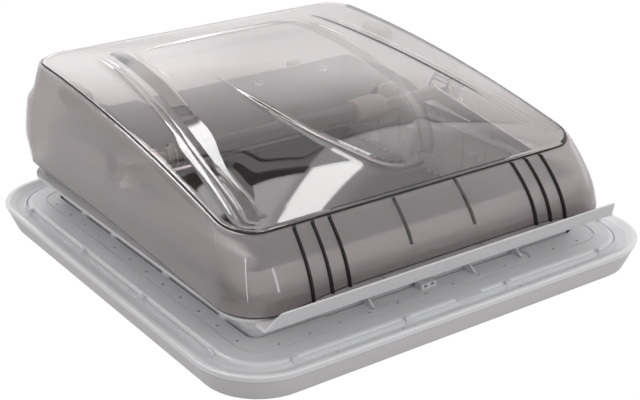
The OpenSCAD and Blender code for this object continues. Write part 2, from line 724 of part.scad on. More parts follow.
module hinge_pins() {
    head_t = 1.5;
    reach = ear_x + ear_t;
    color("silver") for (s = [-1, 1]) {
        x_rod(s * hinge_x - reach, s * hinge_x + reach, hinge_y, hinge_z, hinge_pin_r);
        x_rod(s * hinge_x - reach - head_t, s * hinge_x - reach, hinge_y, hinge_z, hinge_pin_r + 1.3);
        x_rod(s * hinge_x + reach, s * hinge_x + reach + head_t, hinge_y, hinge_z, hinge_pin_r + 1.3);
    }
}

// Dome
module dome_shell() {
    n = loop_n;
    outer_n = len(outer_rings);
    inner_n = len(inner_rings);
    outer_top = [0, tongue_heart[0].y + 60, top_z(0, 0) + tongue_h];
    points = concat(
        [for (r = outer_rings) each r], [for (r = inner_rings) each r],
        [outer_top, outer_top - [0, 0, dome_t + tongue_h]]);
    first = outer_n * n;
    last = len(points);
    color([0.42, 0.38, 0.36, 0.6]) polyhedron(points, concat(
        [for (k = [0:outer_n - 2], i = [0:n - 1]) let (j = (i + 1) % n)
            each [[k * n + i, k * n + n + i, k * n + n + j], [k * n + i, k * n + n + j, k * n + j]]],
        [for (k = [0:inner_n - 2], i = [0:n - 1]) let (j = (i + 1) % n, a = first + k * n)
            each [[a + i, a + n + j, a + n + i], [a + i, a + j, a + n + j]]],
        [for (i = [0:n - 1]) let (j = (i + 1) % n) each [[i, j, first + j], [i, first + j, first + i]]],
        [for (i = [0:n - 1]) let (j = (i + 1) % n, a = (outer_n - 1) * n) [last - 2, a + j, a + i]],
        [for (i = [0:n - 1]) let (j = (i + 1) % n, a = first + (inner_n - 1) * n)
            [last - 1, a + i, a + j]]));
}

// A flat ring bonded round the inside of the dome, with gaps for the hinge arms
module dome_rim() {
    inset = dome_t + 0.5;
    ring_in = neck_half + seal_gap - 1;
    function reach(i) = min([for (z = [0, dome_rim_t]) lean(i, share_at(i, dome_rim_z + z))]);
    color([0.5, 0.47, 0.45, 0.7]) translate([0, 0, dome_rim_z]) linear_extrude(dome_rim_t) difference() {
        polygon([for (i = [0:loop_n - 1]) base_loop[i] + outward(i) * (reach(i) - inset)]);
        translate([0, neck_shift]) rounded(2 * ring_in, 2 * ring_in, neck_corner + seal_gap - 1);
        for (s = [-1, 1]) translate([s * hinge_x, hinge_y]) square([barrel_len + 4, 18], center = true);
    }
}

module hinge_arm(side) {
    steps = [for (k = [0:8]) base_back_z + k * (arm_top_z - base_back_z) / 8];
    x = side * hinge_x;
    color("beige") difference() {
        union() {
            x_rod(x - barrel_len / 2, x + barrel_len / 2, hinge_y, hinge_z, barrel_r);
            along_x(x - barrel_len / 2 + 2, x + barrel_len / 2 - 2) polygon(concat(
                [[hinge_y - barrel_r, hinge_z], [hinge_y - 1.5, hinge_z]],
                [for (z = steps) [arm_face_y(z), z]],
                [for (k = [8:-1:0]) [arm_face_y(steps[k]) - arm_t, steps[k]]]));
        }
        x_rod(x - barrel_len, x + barrel_len, hinge_y, hinge_z, hinge_pin_r + pin_play);
    }
}
module hinge_arm_left() { hinge_arm(-1); }
module hinge_arm_right() { hinge_arm(1); }

// A rounded cover on a short foot, high on the side wall
module arm_cover(side) {
    y = neck_back_y - cover_ahead;
    near = y - cover_len / 2;
    far = y + cover_len / 2;
    high = crease_z(near) - cover_below;
    low = high - cover_h;
    edge = 2;
    out_x = min(side_face_x(near, high - edge), side_face_x(far, high - edge)) - wall_gap;
    color("tan") sided(side) translate([out_x - cover_w / 2, y, 0]) {
        translate([0, 0, low]) linear_extrude(cover_h - edge) rounded(cover_w, cover_len, cover_w / 2 - 0.2);
        translate([0, 0, high - edge]) linear_extrude(edge)
            rounded(cover_w - 2 * edge, cover_len - 2 * edge, cover_w / 2 - edge - 0.2);
        translate([0, 0, low - cover_h / 2]) linear_extrude(cover_h / 2)
            rounded(cover_w / 2, cover_len / 2, cover_w / 4 - 0.2);
    }
}
module arm_cover_left() { arm_cover(-1); }
module arm_cover_right() { arm_cover(1); }

// A clear moulding on the side wall: an open box of thin walls round the boss that carries the pivot
module bracket(side) {
    low = bow_z - bracket_half_h;
    high = bow_z + bracket_half_h;
    near = bow_y - bracket_w / 2;
    far = bow_y + bracket_w / 2;
    function wall_x(z) = min(side_face_x(near, z), side_face_x(far, z)) - wall_gap;
    floor_x = wall_x(high) - bracket_t;
    color([0.85, 0.85, 0.85, 0.6]) sided(side) difference() {
        union() {
            difference() {
                along_y(near, far) polygon(concat(
                    [[bracket_in_x + 5, low], [bracket_in_x + 1, low + 4],
                     [bracket_in_x + 1, high - 8], [bracket_in_x + 6, high]],
                    [for (k = [4:-1:0]) let (z = low + k * (high - low) / 4) [wall_x(z), z]]));
                translate([0, bow_y, bow_z]) along_x(bracket_in_x - past, floor_x)
                    rounded(bracket_w - 2 * bracket_t, 2 * (bracket_half_h - bracket_t), 3);
            }
            x_rod(bracket_in_x, floor_x + 0.5, bow_y, bow_z, pivot_r + bracket_t);
        }
        x_rod(bracket_in_x - past, pivot_out_x, bow_y, bow_z, pivot_r + pin_play);
    }
}
module bracket_left() { bracket(-1); }
module bracket_right() { bracket(1); }

// Two small plugs that close the vent holes on the underside of the top panel
module vent_plugs() {
    plug_h = 4;
    plug_x = 40;
    plug_y = bow_y + 11;
    low = top_z(plug_x, plug_y) - dome_t - plug_h - 0.8;
    color("silver") for (s = [-1, 1])
        translate([s * plug_x, plug_y, low]) cylinder(r = 4, h = plug_h, $fn = round_fn);
}

// Lift bow
module lift_bar() {
    color("gray") along_x(-bar_left, bar_right)
        translate([bow_y, bow_z]) rounded(bar_d, bar_h, bar_d / 2 - 0.2);
}

module strap(x0) {
    along_x(x0, side_arm_x) translate([bow_y, bow_z]) rounded(strap_t, strap_h, 3);
}
// A short collar on the bar's left end, and its strap
module knuckle_left() {
    color("tan") sided(-1) {
        along_x(bar_left, bar_left + collar_len)
            translate([bow_y, bow_z]) rounded(bar_d + 2, bar_h + 2, bar_d / 2 + 0.8);
        strap(bar_left + collar_len - past);
    }
}
// A turned barrel that tapers to both ends, and its strap
module knuckle_right() {
    r = knuckle_h / 2;
    taper = [[0, 0.82], [0.02, 0.9], [0.07, 0.97], [0.2, 1], [0.5, 1.02],
             [0.8, 0.97], [0.93, 0.88], [0.98, 0.78], [1, 0.7]];
    color("tan") {
        translate([bar_right, bow_y, bow_z]) rotate([0, 90, 0]) rotate_extrude($fn = round_fn)
            polygon(concat([[0, 0]], [for (q = taper) [q[1] * r, q[0] * knuckle_len]], [[0, knuckle_len]]));
        strap(knuckle_end - knuckle_len / 2);
    }
}

// A plate that runs on the stem behind the strap
module release_button(side, w, h, drop) {
    color("gainsboro") sided(side) along_y(button_y, button_y + button_t) difference() {
        translate([stem_x[side < 0 ? 0 : 1], bow_z - drop]) rounded(w, h, w / 4);
        translate([stem_x[side < 0 ? 0 : 1], bow_z]) circle(r = stem_r + pin_play, $fn = round_fn);
    }
}
module release_button_left() { release_button(-1, small_button, small_button, 0); }
module release_button_right() { release_button(1, button_w, button_h, button_drop); }

// A round cap behind the button, turned with the stem that carries the button
module hub_cap(side, r) {
    back_y = hub_y + hub_t;
    color("dimgray") sided(side) translate([stem_x[side < 0 ? 0 : 1], 0, bow_z]) rotate([-90, 0, 0])
        rotate_extrude($fn = round_fn) polygon([
            [0, strap_back_y], [stem_r, strap_back_y], [stem_r, hub_y],
            [r - 0.6, hub_y], [r, hub_y + 0.6], [r, back_y - 1], [r - 1, back_y],
            [r * 0.7, back_y], [r * 0.6, back_y - 0.8], [0, back_y - 0.8]]);
}
module hub_caps() {
    hub_cap(-1, small_hub_r);
    hub_cap(1, hub_r);
}

module side_arm(side) {
    eye_r = 9;
    end_r = 6;
    color("lightgray") sided(side) difference() {
        translate([0, bow_y, bow_z]) rotate([arm_dip, 0, 0]) {
            x_rod(side_arm_x, side_arm_x + side_arm_t, 0, 0, eye_r);
            x_rod(side_arm_x, side_arm_x + side_arm_t, -side_arm_len, 0, end_r);
            along_x(side_arm_x, side_arm_x + side_arm_t)
                polygon([[-2, 7], [-2, -7], [1 - side_arm_len, -4.5], [1 - side_arm_len, 4.5]]);
        }
        x_rod(side_arm_x - past, side_arm_x + side_arm_t + past, bow_y, bow_z, pivot_r + pin_play);
        x_rod(side_arm_x - past, side_arm_x + side_arm_t + past, glide_y, rail_z, 1.5 + pin_play);
    }
}
module side_arm_left() { side_arm(-1); }
module side_arm_right() { side_arm(1); }

module pivot_pins() {
    color("silver") for (s = [-1, 1]) sided(s)
        x_rod(side_arm_x, pivot_out_x - 1, bow_y, bow_z, pivot_r);
}

module rail_glides() {
    color("ivory") for (s = [-1, 1]) sided(s) {
        x_rod(side_arm_x, side_arm_x + side_arm_t, glide_y, rail_z, 1.5);
        x_rod(side_arm_x + side_arm_t, rail_in_x + 0.5, glide_y, rail_z, 3);
        x_rod(rail_in_x + 0.5, glide_out_x, glide_y, rail_z, glide_r);
    }
}

// Blind and screen
module blind_track(side) {
    top = deck_z - deck_t;
    web = track_half + track_web;
    color("white") sided(side) along_y(-track_end_y, track_end_y) polygon([
        [track_shelf_in, face_t], [web, face_t], [web, top], [track_half - 5, top],
        [track_half - 5, top - shelf_t], [track_half, top - shelf_t],
        [track_half, blind_z], [track_shelf_in, blind_z],
        [track_shelf_in, blind_z - shelf_t], [track_half, blind_z - shelf_t], [track_half, screen_z],
        [track_shelf_in, screen_z]]);
}
module blind_track_left() { blind_track(-1); }
module blind_track_right() { blind_track(1); }

module pull_rail(y, z, lip) {
    half = pull_w / 2;
    color("lightgray") along_x(-pull_end, pull_end) polygon([
        [y - half, z], [y + half, z], [y + half, z + pull_h - 1.5], [y + half - 1.5, z + pull_h],
        [y + lip * 4, z + pull_h], [y + lip * 3, z + pull_h - 2], [y - lip * 3, z + pull_h - 2],
        [y - lip * 4, z + pull_h], [y - half + 1.5, z + pull_h], [y - half, z + pull_h - 1.5]]);
}
module rail_shoes(y, z) {
    color("dimgray") for (s = [-1, 1]) sided(s)
        translate([pull_end, y - pull_w / 2 + 1, z])
            cube([track_half - slide_play - pull_end, pull_w - 2, pull_h - 0.6]);
}
module end_bar(y, z) {
    color("lightgray") translate([-track_half, y - end_bar_w / 2, z])
        cube([2 * track_half, end_bar_w, pull_h]);
}
module blind_rail() { pull_rail(-pull_stop, blind_z, 1); }
module blind_rail_shoes() { rail_shoes(-pull_stop, blind_z); }
module blind_end_bar() { end_bar(end_bar_y - end_bar_w / 2, blind_z); }
module screen_rail() { pull_rail(pull_stop, screen_z, 1); }
module screen_rail_shoes() { rail_shoes(pull_stop, screen_z); }
module screen_end_bar() { end_bar(end_bar_w / 2 - end_bar_y, screen_z); }

// Pleated cloth between two ends, drawn as a zigzag strip
module pleats(y0, y1, z) {
    n = 2 * round((y1 - y0) / pleat_pitch);
    step = (y1 - y0) / n;
    function fold(k) = z + (k % 2 == 0 ? 0 : pleat_h);
    along_x(-pleat_half, pleat_half) polygon(concat(
        [for (k = [0:n]) [y0 + k * step, fold(k)]],
        [for (k = [n:-1:0]) [y0 + k * step, fold(k) + cloth_t]]));
}
module blind_sheet() {
    color("darkgray") pleats(pull_w / 2 - pull_stop, end_bar_y - end_bar_w, blind_z + 0.8);
}
module screen_sheet() {
    color("gray") pleats(end_bar_w - end_bar_y, pull_stop - pull_w / 2, screen_z + 0.8);
}

ceiling_bezel();
deck_frame();
roof_frame();
wind_deflector();
frame_seal();
frame_screws();
guide_rail_left();
guide_rail_right();
rail_screws();
hinge_pins();
blind_track_left();
blind_track_right();
blind_end_bar();
screen_end_bar();
blind_sheet();
screen_sheet();
dome_shell();
dome_rim();
hinge_arm_left();
hinge_arm_right();
arm_cover_left();
arm_cover_right();
bracket_left();
bracket_right();
vent_plugs();
lift_bar();
knuckle_left();
knuckle_right();
side_arm_left();
side_arm_right();
pivot_pins();
hub_caps();
rail_glides();
release_button_left();
release_button_right();
blind_rail();
blind_rail_shoes();
screen_rail();
screen_rail_shoes();
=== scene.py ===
# %% [markdown]
# # A caravan roof vent, dressed in Blender
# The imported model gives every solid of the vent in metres, with its origin in the middle of the ceiling
# frame's room face, X to the right, Y to the hinges and Z up. This lesson keeps the solids whose shape is
# right, gives each a finish, and makes again by hand what a solid can't show well: the clear drawn dome,
# the rolled lip of the tray, the pleated cloths and a few small fittings.

import math

import bpy
from mathutils import Matrix, Vector


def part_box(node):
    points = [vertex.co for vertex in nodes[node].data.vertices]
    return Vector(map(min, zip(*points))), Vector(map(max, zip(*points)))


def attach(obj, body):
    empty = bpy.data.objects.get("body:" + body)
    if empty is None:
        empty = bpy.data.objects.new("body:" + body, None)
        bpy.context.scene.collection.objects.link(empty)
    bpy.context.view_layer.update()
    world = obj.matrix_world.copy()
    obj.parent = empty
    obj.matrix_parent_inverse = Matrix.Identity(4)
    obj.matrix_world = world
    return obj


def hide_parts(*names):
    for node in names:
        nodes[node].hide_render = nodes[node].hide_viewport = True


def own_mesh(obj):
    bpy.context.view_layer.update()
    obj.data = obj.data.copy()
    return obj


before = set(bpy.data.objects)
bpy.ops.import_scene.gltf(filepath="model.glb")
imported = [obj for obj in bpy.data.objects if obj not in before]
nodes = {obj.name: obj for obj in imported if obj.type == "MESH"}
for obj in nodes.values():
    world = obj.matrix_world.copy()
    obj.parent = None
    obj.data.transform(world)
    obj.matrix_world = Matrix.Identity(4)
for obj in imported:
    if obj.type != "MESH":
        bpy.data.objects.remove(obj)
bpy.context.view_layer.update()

# %% [markdown]
# ## Camera
# The camera stands where the straight edges of the square frame say it stood: in front of the left front
# corner, about a metre and a half away, looking down through a longish lens. It could be pushed about by
# eye; worked out from the edges, its place, its turn and its lens fit together.

# %% The camera
CAMERA_PLACE = (-0.7434, -1.0595, 0.6090)
LOOKS_DOWN, LOOKS_RIGHT = 23.58, 35.42
LENS = 75.55

bpy.ops.object.camera_add(location=CAMERA_PLACE,
                          rotation=(math.radians(90 - LOOKS_DOWN), 0, math.radians(-LOOKS_RIGHT)))
camera = bpy.context.object
camera.name = "studio_camera"
camera.data.sensor_width = 36
camera.data.lens = LENS
camera.data.clip_end = 30
bpy.context.scene.camera = camera
print("lens in mm:", camera.data.lens)

# %% [markdown]
# ## Shader maths in Python
# A finish is a small network of nodes. It could be wired up socket by socket, but as expressions it reads
# better: the class below wraps one socket, and each operator on it adds one Math node. Any other node
# comes from `Finish.node`.

# %% Sockets with operators
class Value:
    """One output socket of a finish."""

    def __init__(self, finish, socket):
        self.finish = finish
        self.socket = socket

    def math(self, operation, *others):
        inputs = dict(enumerate((self, *others)))
        return self.finish.node("ShaderNodeMath", {"operation": operation}, inputs)

    def reflected(self, operation, first):
        return self.finish.node("ShaderNodeMath", {"operation": operation}, {0: first, 1: self})

    def __add__(self, other):
        return self.math("ADD", other)

    def __sub__(self, other):
        return self.math("SUBTRACT", other)

    def __rsub__(self, other):
        return self.reflected("SUBTRACT", other)

    def __mul__(self, other):
        return self.math("MULTIPLY", other)

    def __truediv__(self, other):
        return self.math("DIVIDE", other)

    def __rtruediv__(self, other):
        return self.reflected("DIVIDE", other)

    __radd__ = __add__
    __rmul__ = __mul__


class Finish:
    """One material or world, and the nodes in it."""

    def __init__(self, name, material=None):
        self.material = material or bpy.data.materials.new(name)
        self.material.use_nodes = True
        self.tree = self.material.node_tree
        self.tree.nodes.clear()

    def node(self, kind, settings=None, inputs=None, out=0):
        made = self.tree.nodes.new(kind)
        for name, value in (settings or {}).items():
            if name == "stops":
                ramp = made.color_ramp.elements
                while len(ramp) < len(value):
                    ramp.new(0.5)
                for stop, (place, colour) in zip(ramp, value):
                    stop.position = place
                    stop.color = (*colour, 1)
            else:
                setattr(made, name, value)
        for name, value in (inputs or {}).items():
            if isinstance(value, Value):
                self.tree.links.new(value.socket, made.inputs[name])
            elif value is not None:
                made.inputs[name].default_value = value
        return Value(self, made.outputs[out]) if made.outputs else None

    def place(self):
        """Object coordinates: metres in the frame of the whole vent."""
        return self.node("ShaderNodeTexCoord", out="Object")

    def noise(self, scale, detail=2.0, rough=0.5, squeeze=None):
        where = self.place()
        if squeeze:
            where = self.node("ShaderNodeMapping", None, {"Vector": where, "Scale": squeeze})
        return self.node("ShaderNodeTexNoise", None,
                         {"Vector": where, "Scale": scale, "Detail": detail, "Roughness": rough})

    def tint(self, share, low, high):
        return self.node("ShaderNodeMix", {"data_type": "RGBA"},
                         {0: share, 6: (*low, 1), 7: (*high, 1)}, out=2)

    def soft_edge(self, radius):
        """A normal that rounds every sharp edge, as a mould does."""
        return self.node("ShaderNodeBevel", {"samples": 4}, {"Radius": radius})

    def bump(self, height, strength, distance, normal=None):
        return self.node("ShaderNodeBump", None,
                         {"Height": height, "Strength": strength, "Distance": distance, "Normal": normal})

    def surface(self, shader):
        self.node("ShaderNodeOutputMaterial", None, {"Surface": shader})
        return self.material


print("shader helpers ready")

# %% [markdown]
# ## Studio
# The vent stands on a pale floor in a white sweep, and the polished top of the dome mirrors the studio.
# Real panels could hang round the vent, but each would light it too and throw shadows. So the world is
# drawn as the studio looks from the dome: white walls, a bright ceiling panel with two dark bars along
# its edge, a small window that gives the white patch on the front of the top, a box at the left, and two
# strips in front that light up at the dome's front left corner. Matt surfaces only need even light, so
# rays that gather light get one plain colour, and three softboxes that no mirror shows.

# %% Floor
FLOOR_SIZE = 9
FLOOR_GLOW, FLOOR_GLOW_SHARE = 1.05, 0.94

bpy.ops.object.select_all(action="DESELECT")
bpy.ops.mesh.primitive_plane_add(size=FLOOR_SIZE, location=(0, 0, 0))
floor = bpy.context.object
floor.name = "pale_floor"


def seen_straight(finish):
    """1 for rays that show the studio: from the camera, off gloss or through glass."""
    kinds = ("Is Camera Ray", "Is Glossy Ray", "Is Transmission Ray")
    camera_ray, glossy, through = (finish.node("ShaderNodeLightPath", out=k) for k in kinds)
    return camera_ray.math("MAXIMUM", glossy).math("MAXIMUM", through)


pale = Finish("pale_floor_paint")
matt = pale.node("ShaderNodeBsdfDiffuse", None, {"Color": (0.6, 0.6, 0.6, 1)})
glow = pale.node("ShaderNodeEmission", None, {"Color": (1, 1, 1, 1), "Strength": FLOOR_GLOW})
glow_share = seen_straight(pale) * FLOOR_GLOW_SHARE
paint = pale.node("ShaderNodeMixShader", None, {0: glow_share, 1: matt, 2: glow})
floor.data.materials.append(pale.surface(paint))
print("floor:", floor.dimensions[:2])

# %% Where a mirrored ray goes
STUDIO_TURN = math.radians(25)
LEAST_AHEAD = 0.05

world = bpy.data.worlds.new("studio_sweep")
bpy.context.scene.world = world
sweep = Finish("studio_sweep", world)
towards = sweep.node("ShaderNodeTexCoord", out="Generated")
east, north, up = (sweep.node("ShaderNodeSeparateXYZ", None, {0: towards}, out=k) for k in range(3))
facing = east * math.sin(STUDIO_TURN) + north * math.cos(STUDIO_TURN)
ahead = facing.math("MAXIMUM", LEAST_AHEAD)
aside = (east * math.cos(STUDIO_TURN) - north * math.sin(STUDIO_TURN)) / ahead
steep = up / ahead


def fade(value, start, end):
    """0 before start, 1 after end, smooth between."""
    return sweep.node("ShaderNodeMapRange", {"interpolation_type": "SMOOTHSTEP"},
                      {0: value, 1: start, 2: end, 3: 0.0, 4: 1.0})


def between_marks(value, marks, soft):
    """1 between the two marks, with a soft border outside each."""
    low, high = marks
    return fade(value, low - soft, low) * fade(value, high + soft, high)


print("studio direction in degrees:", round(math.degrees(STUDIO_TURN)))

# %% Panel, bars, window and left box, placed by how far aside and how steep they are seen
PANEL_LEAN, PANEL_SHIFT, PANEL_JOG, JOG_ASIDE = 0.3, 0.09, 0.045, (0.3, 0.21)
PANEL_EDGE, PANEL_LEFT = (1.2, 1.206), (0.04, 0.1)
CORNER_FROM, CORNER_LEAN = 0.4, 1.7
CORNER_EDGE, CORNER_ASIDE = (1.148, 1.154), (0.425, 0.435)
WIDE_BAR, WIDE_BAR_END, WIDE_BAR_DARK = (1.178, 1.2), (0.436, 0.43), 0.95
THIN_BAR, THIN_BAR_DARK, BAR_SOFT = (1.136, 1.144), 0.9, 0.003
WINDOW_ASIDE, WINDOW_STEEP = (0.452, 0.574), (1.234, 1.5)
LEFT_BOX_ASIDE, LEFT_BOX_START, LEFT_BOX_END = (-0.7, 0.0), (1.03, 1.06), (2.2, 1.9)
PANEL_LIGHT, WINDOW_LIGHT, LEFT_BOX_LIGHT = 2.1, 6, 10
DIM_MIDDLE, DIM_MIDDLE_BY = (0.4, 0.44), 0.9
DIM_RIGHT, DIM_RIGHT_BY = (0.58, 0.68), 0.6

tilted = steep - aside * PANEL_LEAN + PANEL_SHIFT + fade(aside, *JOG_ASIDE) * PANEL_JOG
corner = tilted + (aside - CORNER_FROM).math("MAXIMUM", 0.0) * CORNER_LEAN
in_corner = fade(aside, *CORNER_ASIDE) * fade(corner, *CORNER_EDGE)
panel_glow = fade(tilted, *PANEL_EDGE).math("MAXIMUM", in_corner) * fade(aside, *PANEL_LEFT)
panel_light = PANEL_LIGHT - fade(aside, *DIM_MIDDLE) * DIM_MIDDLE_BY - fade(aside, *DIM_RIGHT) * DIM_RIGHT_BY
thin_bar = between_marks(corner, THIN_BAR, BAR_SOFT)
wide_bar = between_marks(tilted, WIDE_BAR, BAR_SOFT) * fade(aside, *WIDE_BAR_END)
bars = (1 - thin_bar * THIN_BAR_DARK) * (1 - wide_bar * WIDE_BAR_DARK)
window = between_marks(aside, WINDOW_ASIDE, 0.012) * between_marks(steep, WINDOW_STEEP, 0.01)
left_box_high = fade(steep, *LEFT_BOX_START) * fade(steep, *LEFT_BOX_END)
left_box = between_marks(aside, LEFT_BOX_ASIDE, 0.03) * left_box_high
set_up = panel_glow * panel_light * bars + window * WINDOW_LIGHT + left_box * LEFT_BOX_LIGHT
print("lights drawn ahead:", PANEL_LIGHT, WINDOW_LIGHT, LEFT_BOX_LIGHT)

# %% Strips and room in front of the vent, placed by direction
THIN_STRIP, THIN_STRIP_LEAN, THIN_STRIP_HIGH = (-0.585, -0.568), 0.093, (0.1, 0.72)
WIDE_STRIP, WIDE_STRIP_HIGH = (0.22, 0.3), (0.28, 0.62)
THIN_STRIP_EAST, WIDE_STRIP_NORTH = (-0.25, -0.35), (-0.4, -0.5)
THIN_STRIP_LIGHT, WIDE_STRIP_LIGHT = 9, 6
BEFORE_FACING, BEFORE_UP = (0.5, -0.1), (-0.05, 0.4)
LOW_BEFORE, HIGH_BEFORE = 0.25, 1.1

thin_line = between_marks(north - up * THIN_STRIP_LEAN, THIN_STRIP, 0.006)
thin_strip = thin_line * fade(east, *THIN_STRIP_EAST) * between_marks(up, THIN_STRIP_HIGH, 0.02)
wide_line = between_marks(east, WIDE_STRIP, 0.01)
wide_strip = wide_line * between_marks(up, WIDE_STRIP_HIGH, 0.03) * fade(north, *WIDE_STRIP_NORTH)
room_before = fade(facing, *BEFORE_FACING) * (LOW_BEFORE + fade(up, *BEFORE_UP) * HIGH_BEFORE)
before = room_before + thin_strip * THIN_STRIP_LIGHT + wide_strip * WIDE_STRIP_LIGHT
print("strips drawn in front:", THIN_STRIP_LIGHT, WIDE_STRIP_LIGHT)

# %% Walls, and all of the world together
WALLS = [(0, 1.0), (0.04, 1.0), (0.12, 1.4), (0.3, 1.5), (0.5, 2.1), (0.75, 1.5), (0.87, 1.1), (1.0, 0.8),
         (2.5, 0.8)]
STEEPEST, HIGHEST_WALL = WALLS[-1]
RAMP_SCALE = 2
WALLS_FACING, SET_UP_AHEAD = (0.06, 0.25), (0.2, 0.3)
LEFT_WALL_ASIDE, LEFT_WALL_STEEP, LEFT_WALL_LIGHT = (0.16, 0.02), (0.35, 0.62), 0.6
EVEN_LIGHT = {"Color": (1.0, 0.985, 1.0, 1), "Strength": 0.55}

stops = [(place / STEEPEST, (light / RAMP_SCALE,) * 3) for place, light in WALLS]
walls_seen = sweep.node("ShaderNodeValToRGB", {"stops": stops}, {0: steep / STEEPEST})
walls_ahead = HIGHEST_WALL + (walls_seen * RAMP_SCALE - HIGHEST_WALL) * fade(facing, *WALLS_FACING)
left_wall_high = between_marks(steep, LEFT_WALL_STEEP, 0.15)
left_wall = fade(aside, *LEFT_WALL_ASIDE) * left_wall_high * LEFT_WALL_LIGHT
brightness = (walls_ahead + left_wall) * bars + set_up * fade(ahead, *SET_UP_AHEAD) + before
off_gloss = sweep.node("ShaderNodeLightPath", out="Glossy Depth").math("GREATER_THAN", 0.5)
strength = 1 + off_gloss * (brightness - 1)
mirrored = sweep.node("ShaderNodeBackground", None, {"Color": (1, 1, 1, 1), "Strength": strength})
lit = sweep.node("ShaderNodeBackground", None, EVEN_LIGHT)
straight = sweep.node("ShaderNodeMixShader", None, {0: seen_straight(sweep), 1: lit, 2: mirrored})
sweep.node("ShaderNodeOutputWorld", None, {"Surface": straight})
bpy.context.scene.view_settings.view_transform = "Standard"
print("world:", world.name)

# %% Lamps
LAMPS_AIM = Vector((0, 0, 0.08))


def softbox(name, place, size, watts):
    bpy.ops.object.light_add(type="AREA", location=place)
    lamp = bpy.context.object
    lamp.name = name
    lamp.data.shape = "RECTANGLE"
    lamp.data.size, lamp.data.size_y = size
    lamp.data.energy = watts
    lamp.visible_glossy = False
    lamp.visible_transmission = False
    lamp.rotation_euler = (LAMPS_AIM - Vector(place)).to_track_quat("-Z", "Y").to_euler()


softbox("softbox_left", (-1.7, -0.5, 1.1), (1.2, 0.9), 2.6)
softbox("softbox_front", (0.5, -2.0, 1.2), (1.4, 0.8), 11)
softbox("softbox_back", (0.6, 2.2, 1.3), (0.9, 0.6), 12)

# %% [markdown]
# ## Moulded plastics
# Frames, deck and fittings are moulded plastic, which is never one flat colour: it has a fine satin
# grain, a slow drift in its gloss and rounded edges. A picture could carry the grain; noise on object
# coordinates needs none, and stays as fine on a large piece as on a small one.

# %% Finishes of the moulded pieces
GRAIN, GRAIN_DEPTH = 900, 0.00004
EDGE_ROUND, COLOUR_DRIFT = 0.0006, 0.05


def moulded(name, colour, rough):
    f = Finish(name)
    low = tuple(c * (1 - COLOUR_DRIFT) for c in colour)
    slow = f.noise(9, 3)
    fine = f.noise(GRAIN, 2, 0.6)
    body = {
        "Base Color": f.tint(slow * 0.75 + fine * 0.25, low, colour),
        "Roughness": slow * 0.12 + fine * 0.1 + (rough - 0.11),
        "Normal": f.bump(fine, 0.5, GRAIN_DEPTH, f.soft_edge(EDGE_ROUND)),
        "IOR": 1.5,
    }
    return f.surface(f.node("ShaderNodeBsdfPrincipled", None, body))


white_frame = moulded("white_moulding", (0.77, 0.765, 0.77), 0.42)
white_tray = moulded("white_tray", (0.70, 0.705, 0.715), 0.36)
# The lip's brighter white is a painted highlight and the skirt's darker pinkish grey is painted shade: tray,
# lip and skirt are one moulding.
lip_painted_highlight = moulded("lip_painted_highlight", (0.84, 0.845, 0.85), 0.3)
skirt_painted_shade = moulded("skirt_painted_shade_moulding", (0.66, 0.64, 0.65), 0.45)
white_deck = moulded("white_deck", (0.69, 0.69, 0.70), 0.45)
beige = moulded("beige_moulding", (0.64, 0.58, 0.555), 0.4)
grey = moulded("grey_moulding", (0.33, 0.32, 0.32), 0.38)
slate = moulded("slate_moulding", (0.15, 0.145, 0.145), 0.4)
dark = moulded("dark_moulding", (0.045, 0.045, 0.05), 0.45)
pale_button = moulded("pale_moulding", (0.66, 0.63, 0.60), 0.3)
print("plastics:", white_frame.name, beige.name, grey.name)

# %% [markdown]
# ## Metal and rubber
# The rails are drawn aluminium, the screws and pins zinc plated steel, and the seal is rubber. Drawing
# leaves fine lines along a rail. A stretched noise gives them; the steel has the same noise unstretched,
# as a grain.

# %% Finishes of rails, screws and seal
def drawn_metal(name, colour, rough, squeeze):
    f = Finish(name)
    lines = f.noise(60, 3, 0.6, squeeze)
    body = {
        "Base Color": f.tint(lines, tuple(c * 0.86 for c in colour), colour),
        "Metallic": 1.0,
        "Roughness": lines * 0.18 + (rough - 0.09),
        "Normal": f.bump(lines, 0.25, 0.00003, f.soft_edge(0.0004)),
    }
    return f.surface(f.node("ShaderNodeBsdfPrincipled", None, body))


rail_metal = drawn_metal("anodised_rail", (0.78, 0.78, 0.79), 0.36, (60, 0.6, 60))
steel = drawn_metal("zinc_steel", (0.62, 0.62, 0.63), 0.3, (40, 40, 40))
rubber_mix = Finish("grey_rubber")
speck = rubber_mix.noise(700, 3)
rubber = rubber_mix.surface(rubber_mix.node("ShaderNodeBsdfPrincipled", None, {
    "Base Color": rubber_mix.tint(speck, (0.36, 0.358, 0.355), (0.42, 0.418, 0.415)),
    "Roughness": speck * 0.15 + 0.6,
    "Normal": rubber_mix.bump(speck, 0.4, 0.00006, rubber_mix.soft_edge(EDGE_ROUND))}))
print("metals and rubber:", rail_metal.name, steel.name, rubber.name)

# %% [markdown]
# ## Clear plastics
# The dome is smoked acrylic, and the brackets and the clip are clear. Light passes and bends in them, and
# lamps have to reach what they cover. Letting a renderer find that light through glass is slow and noisy,
# so rays that only ask how much light arrives pass straight through a tinted film. Where light runs along
# the sheet, at its cut edge, in the ribs and in the slow flank of the tongue, it looks darker, and there the
# dome gets dark finishes of its own, which are painted shade.

# %% Finishes of dome, brackets and clip
SMOKED_FILM = (0.79, 0.765, 0.77)


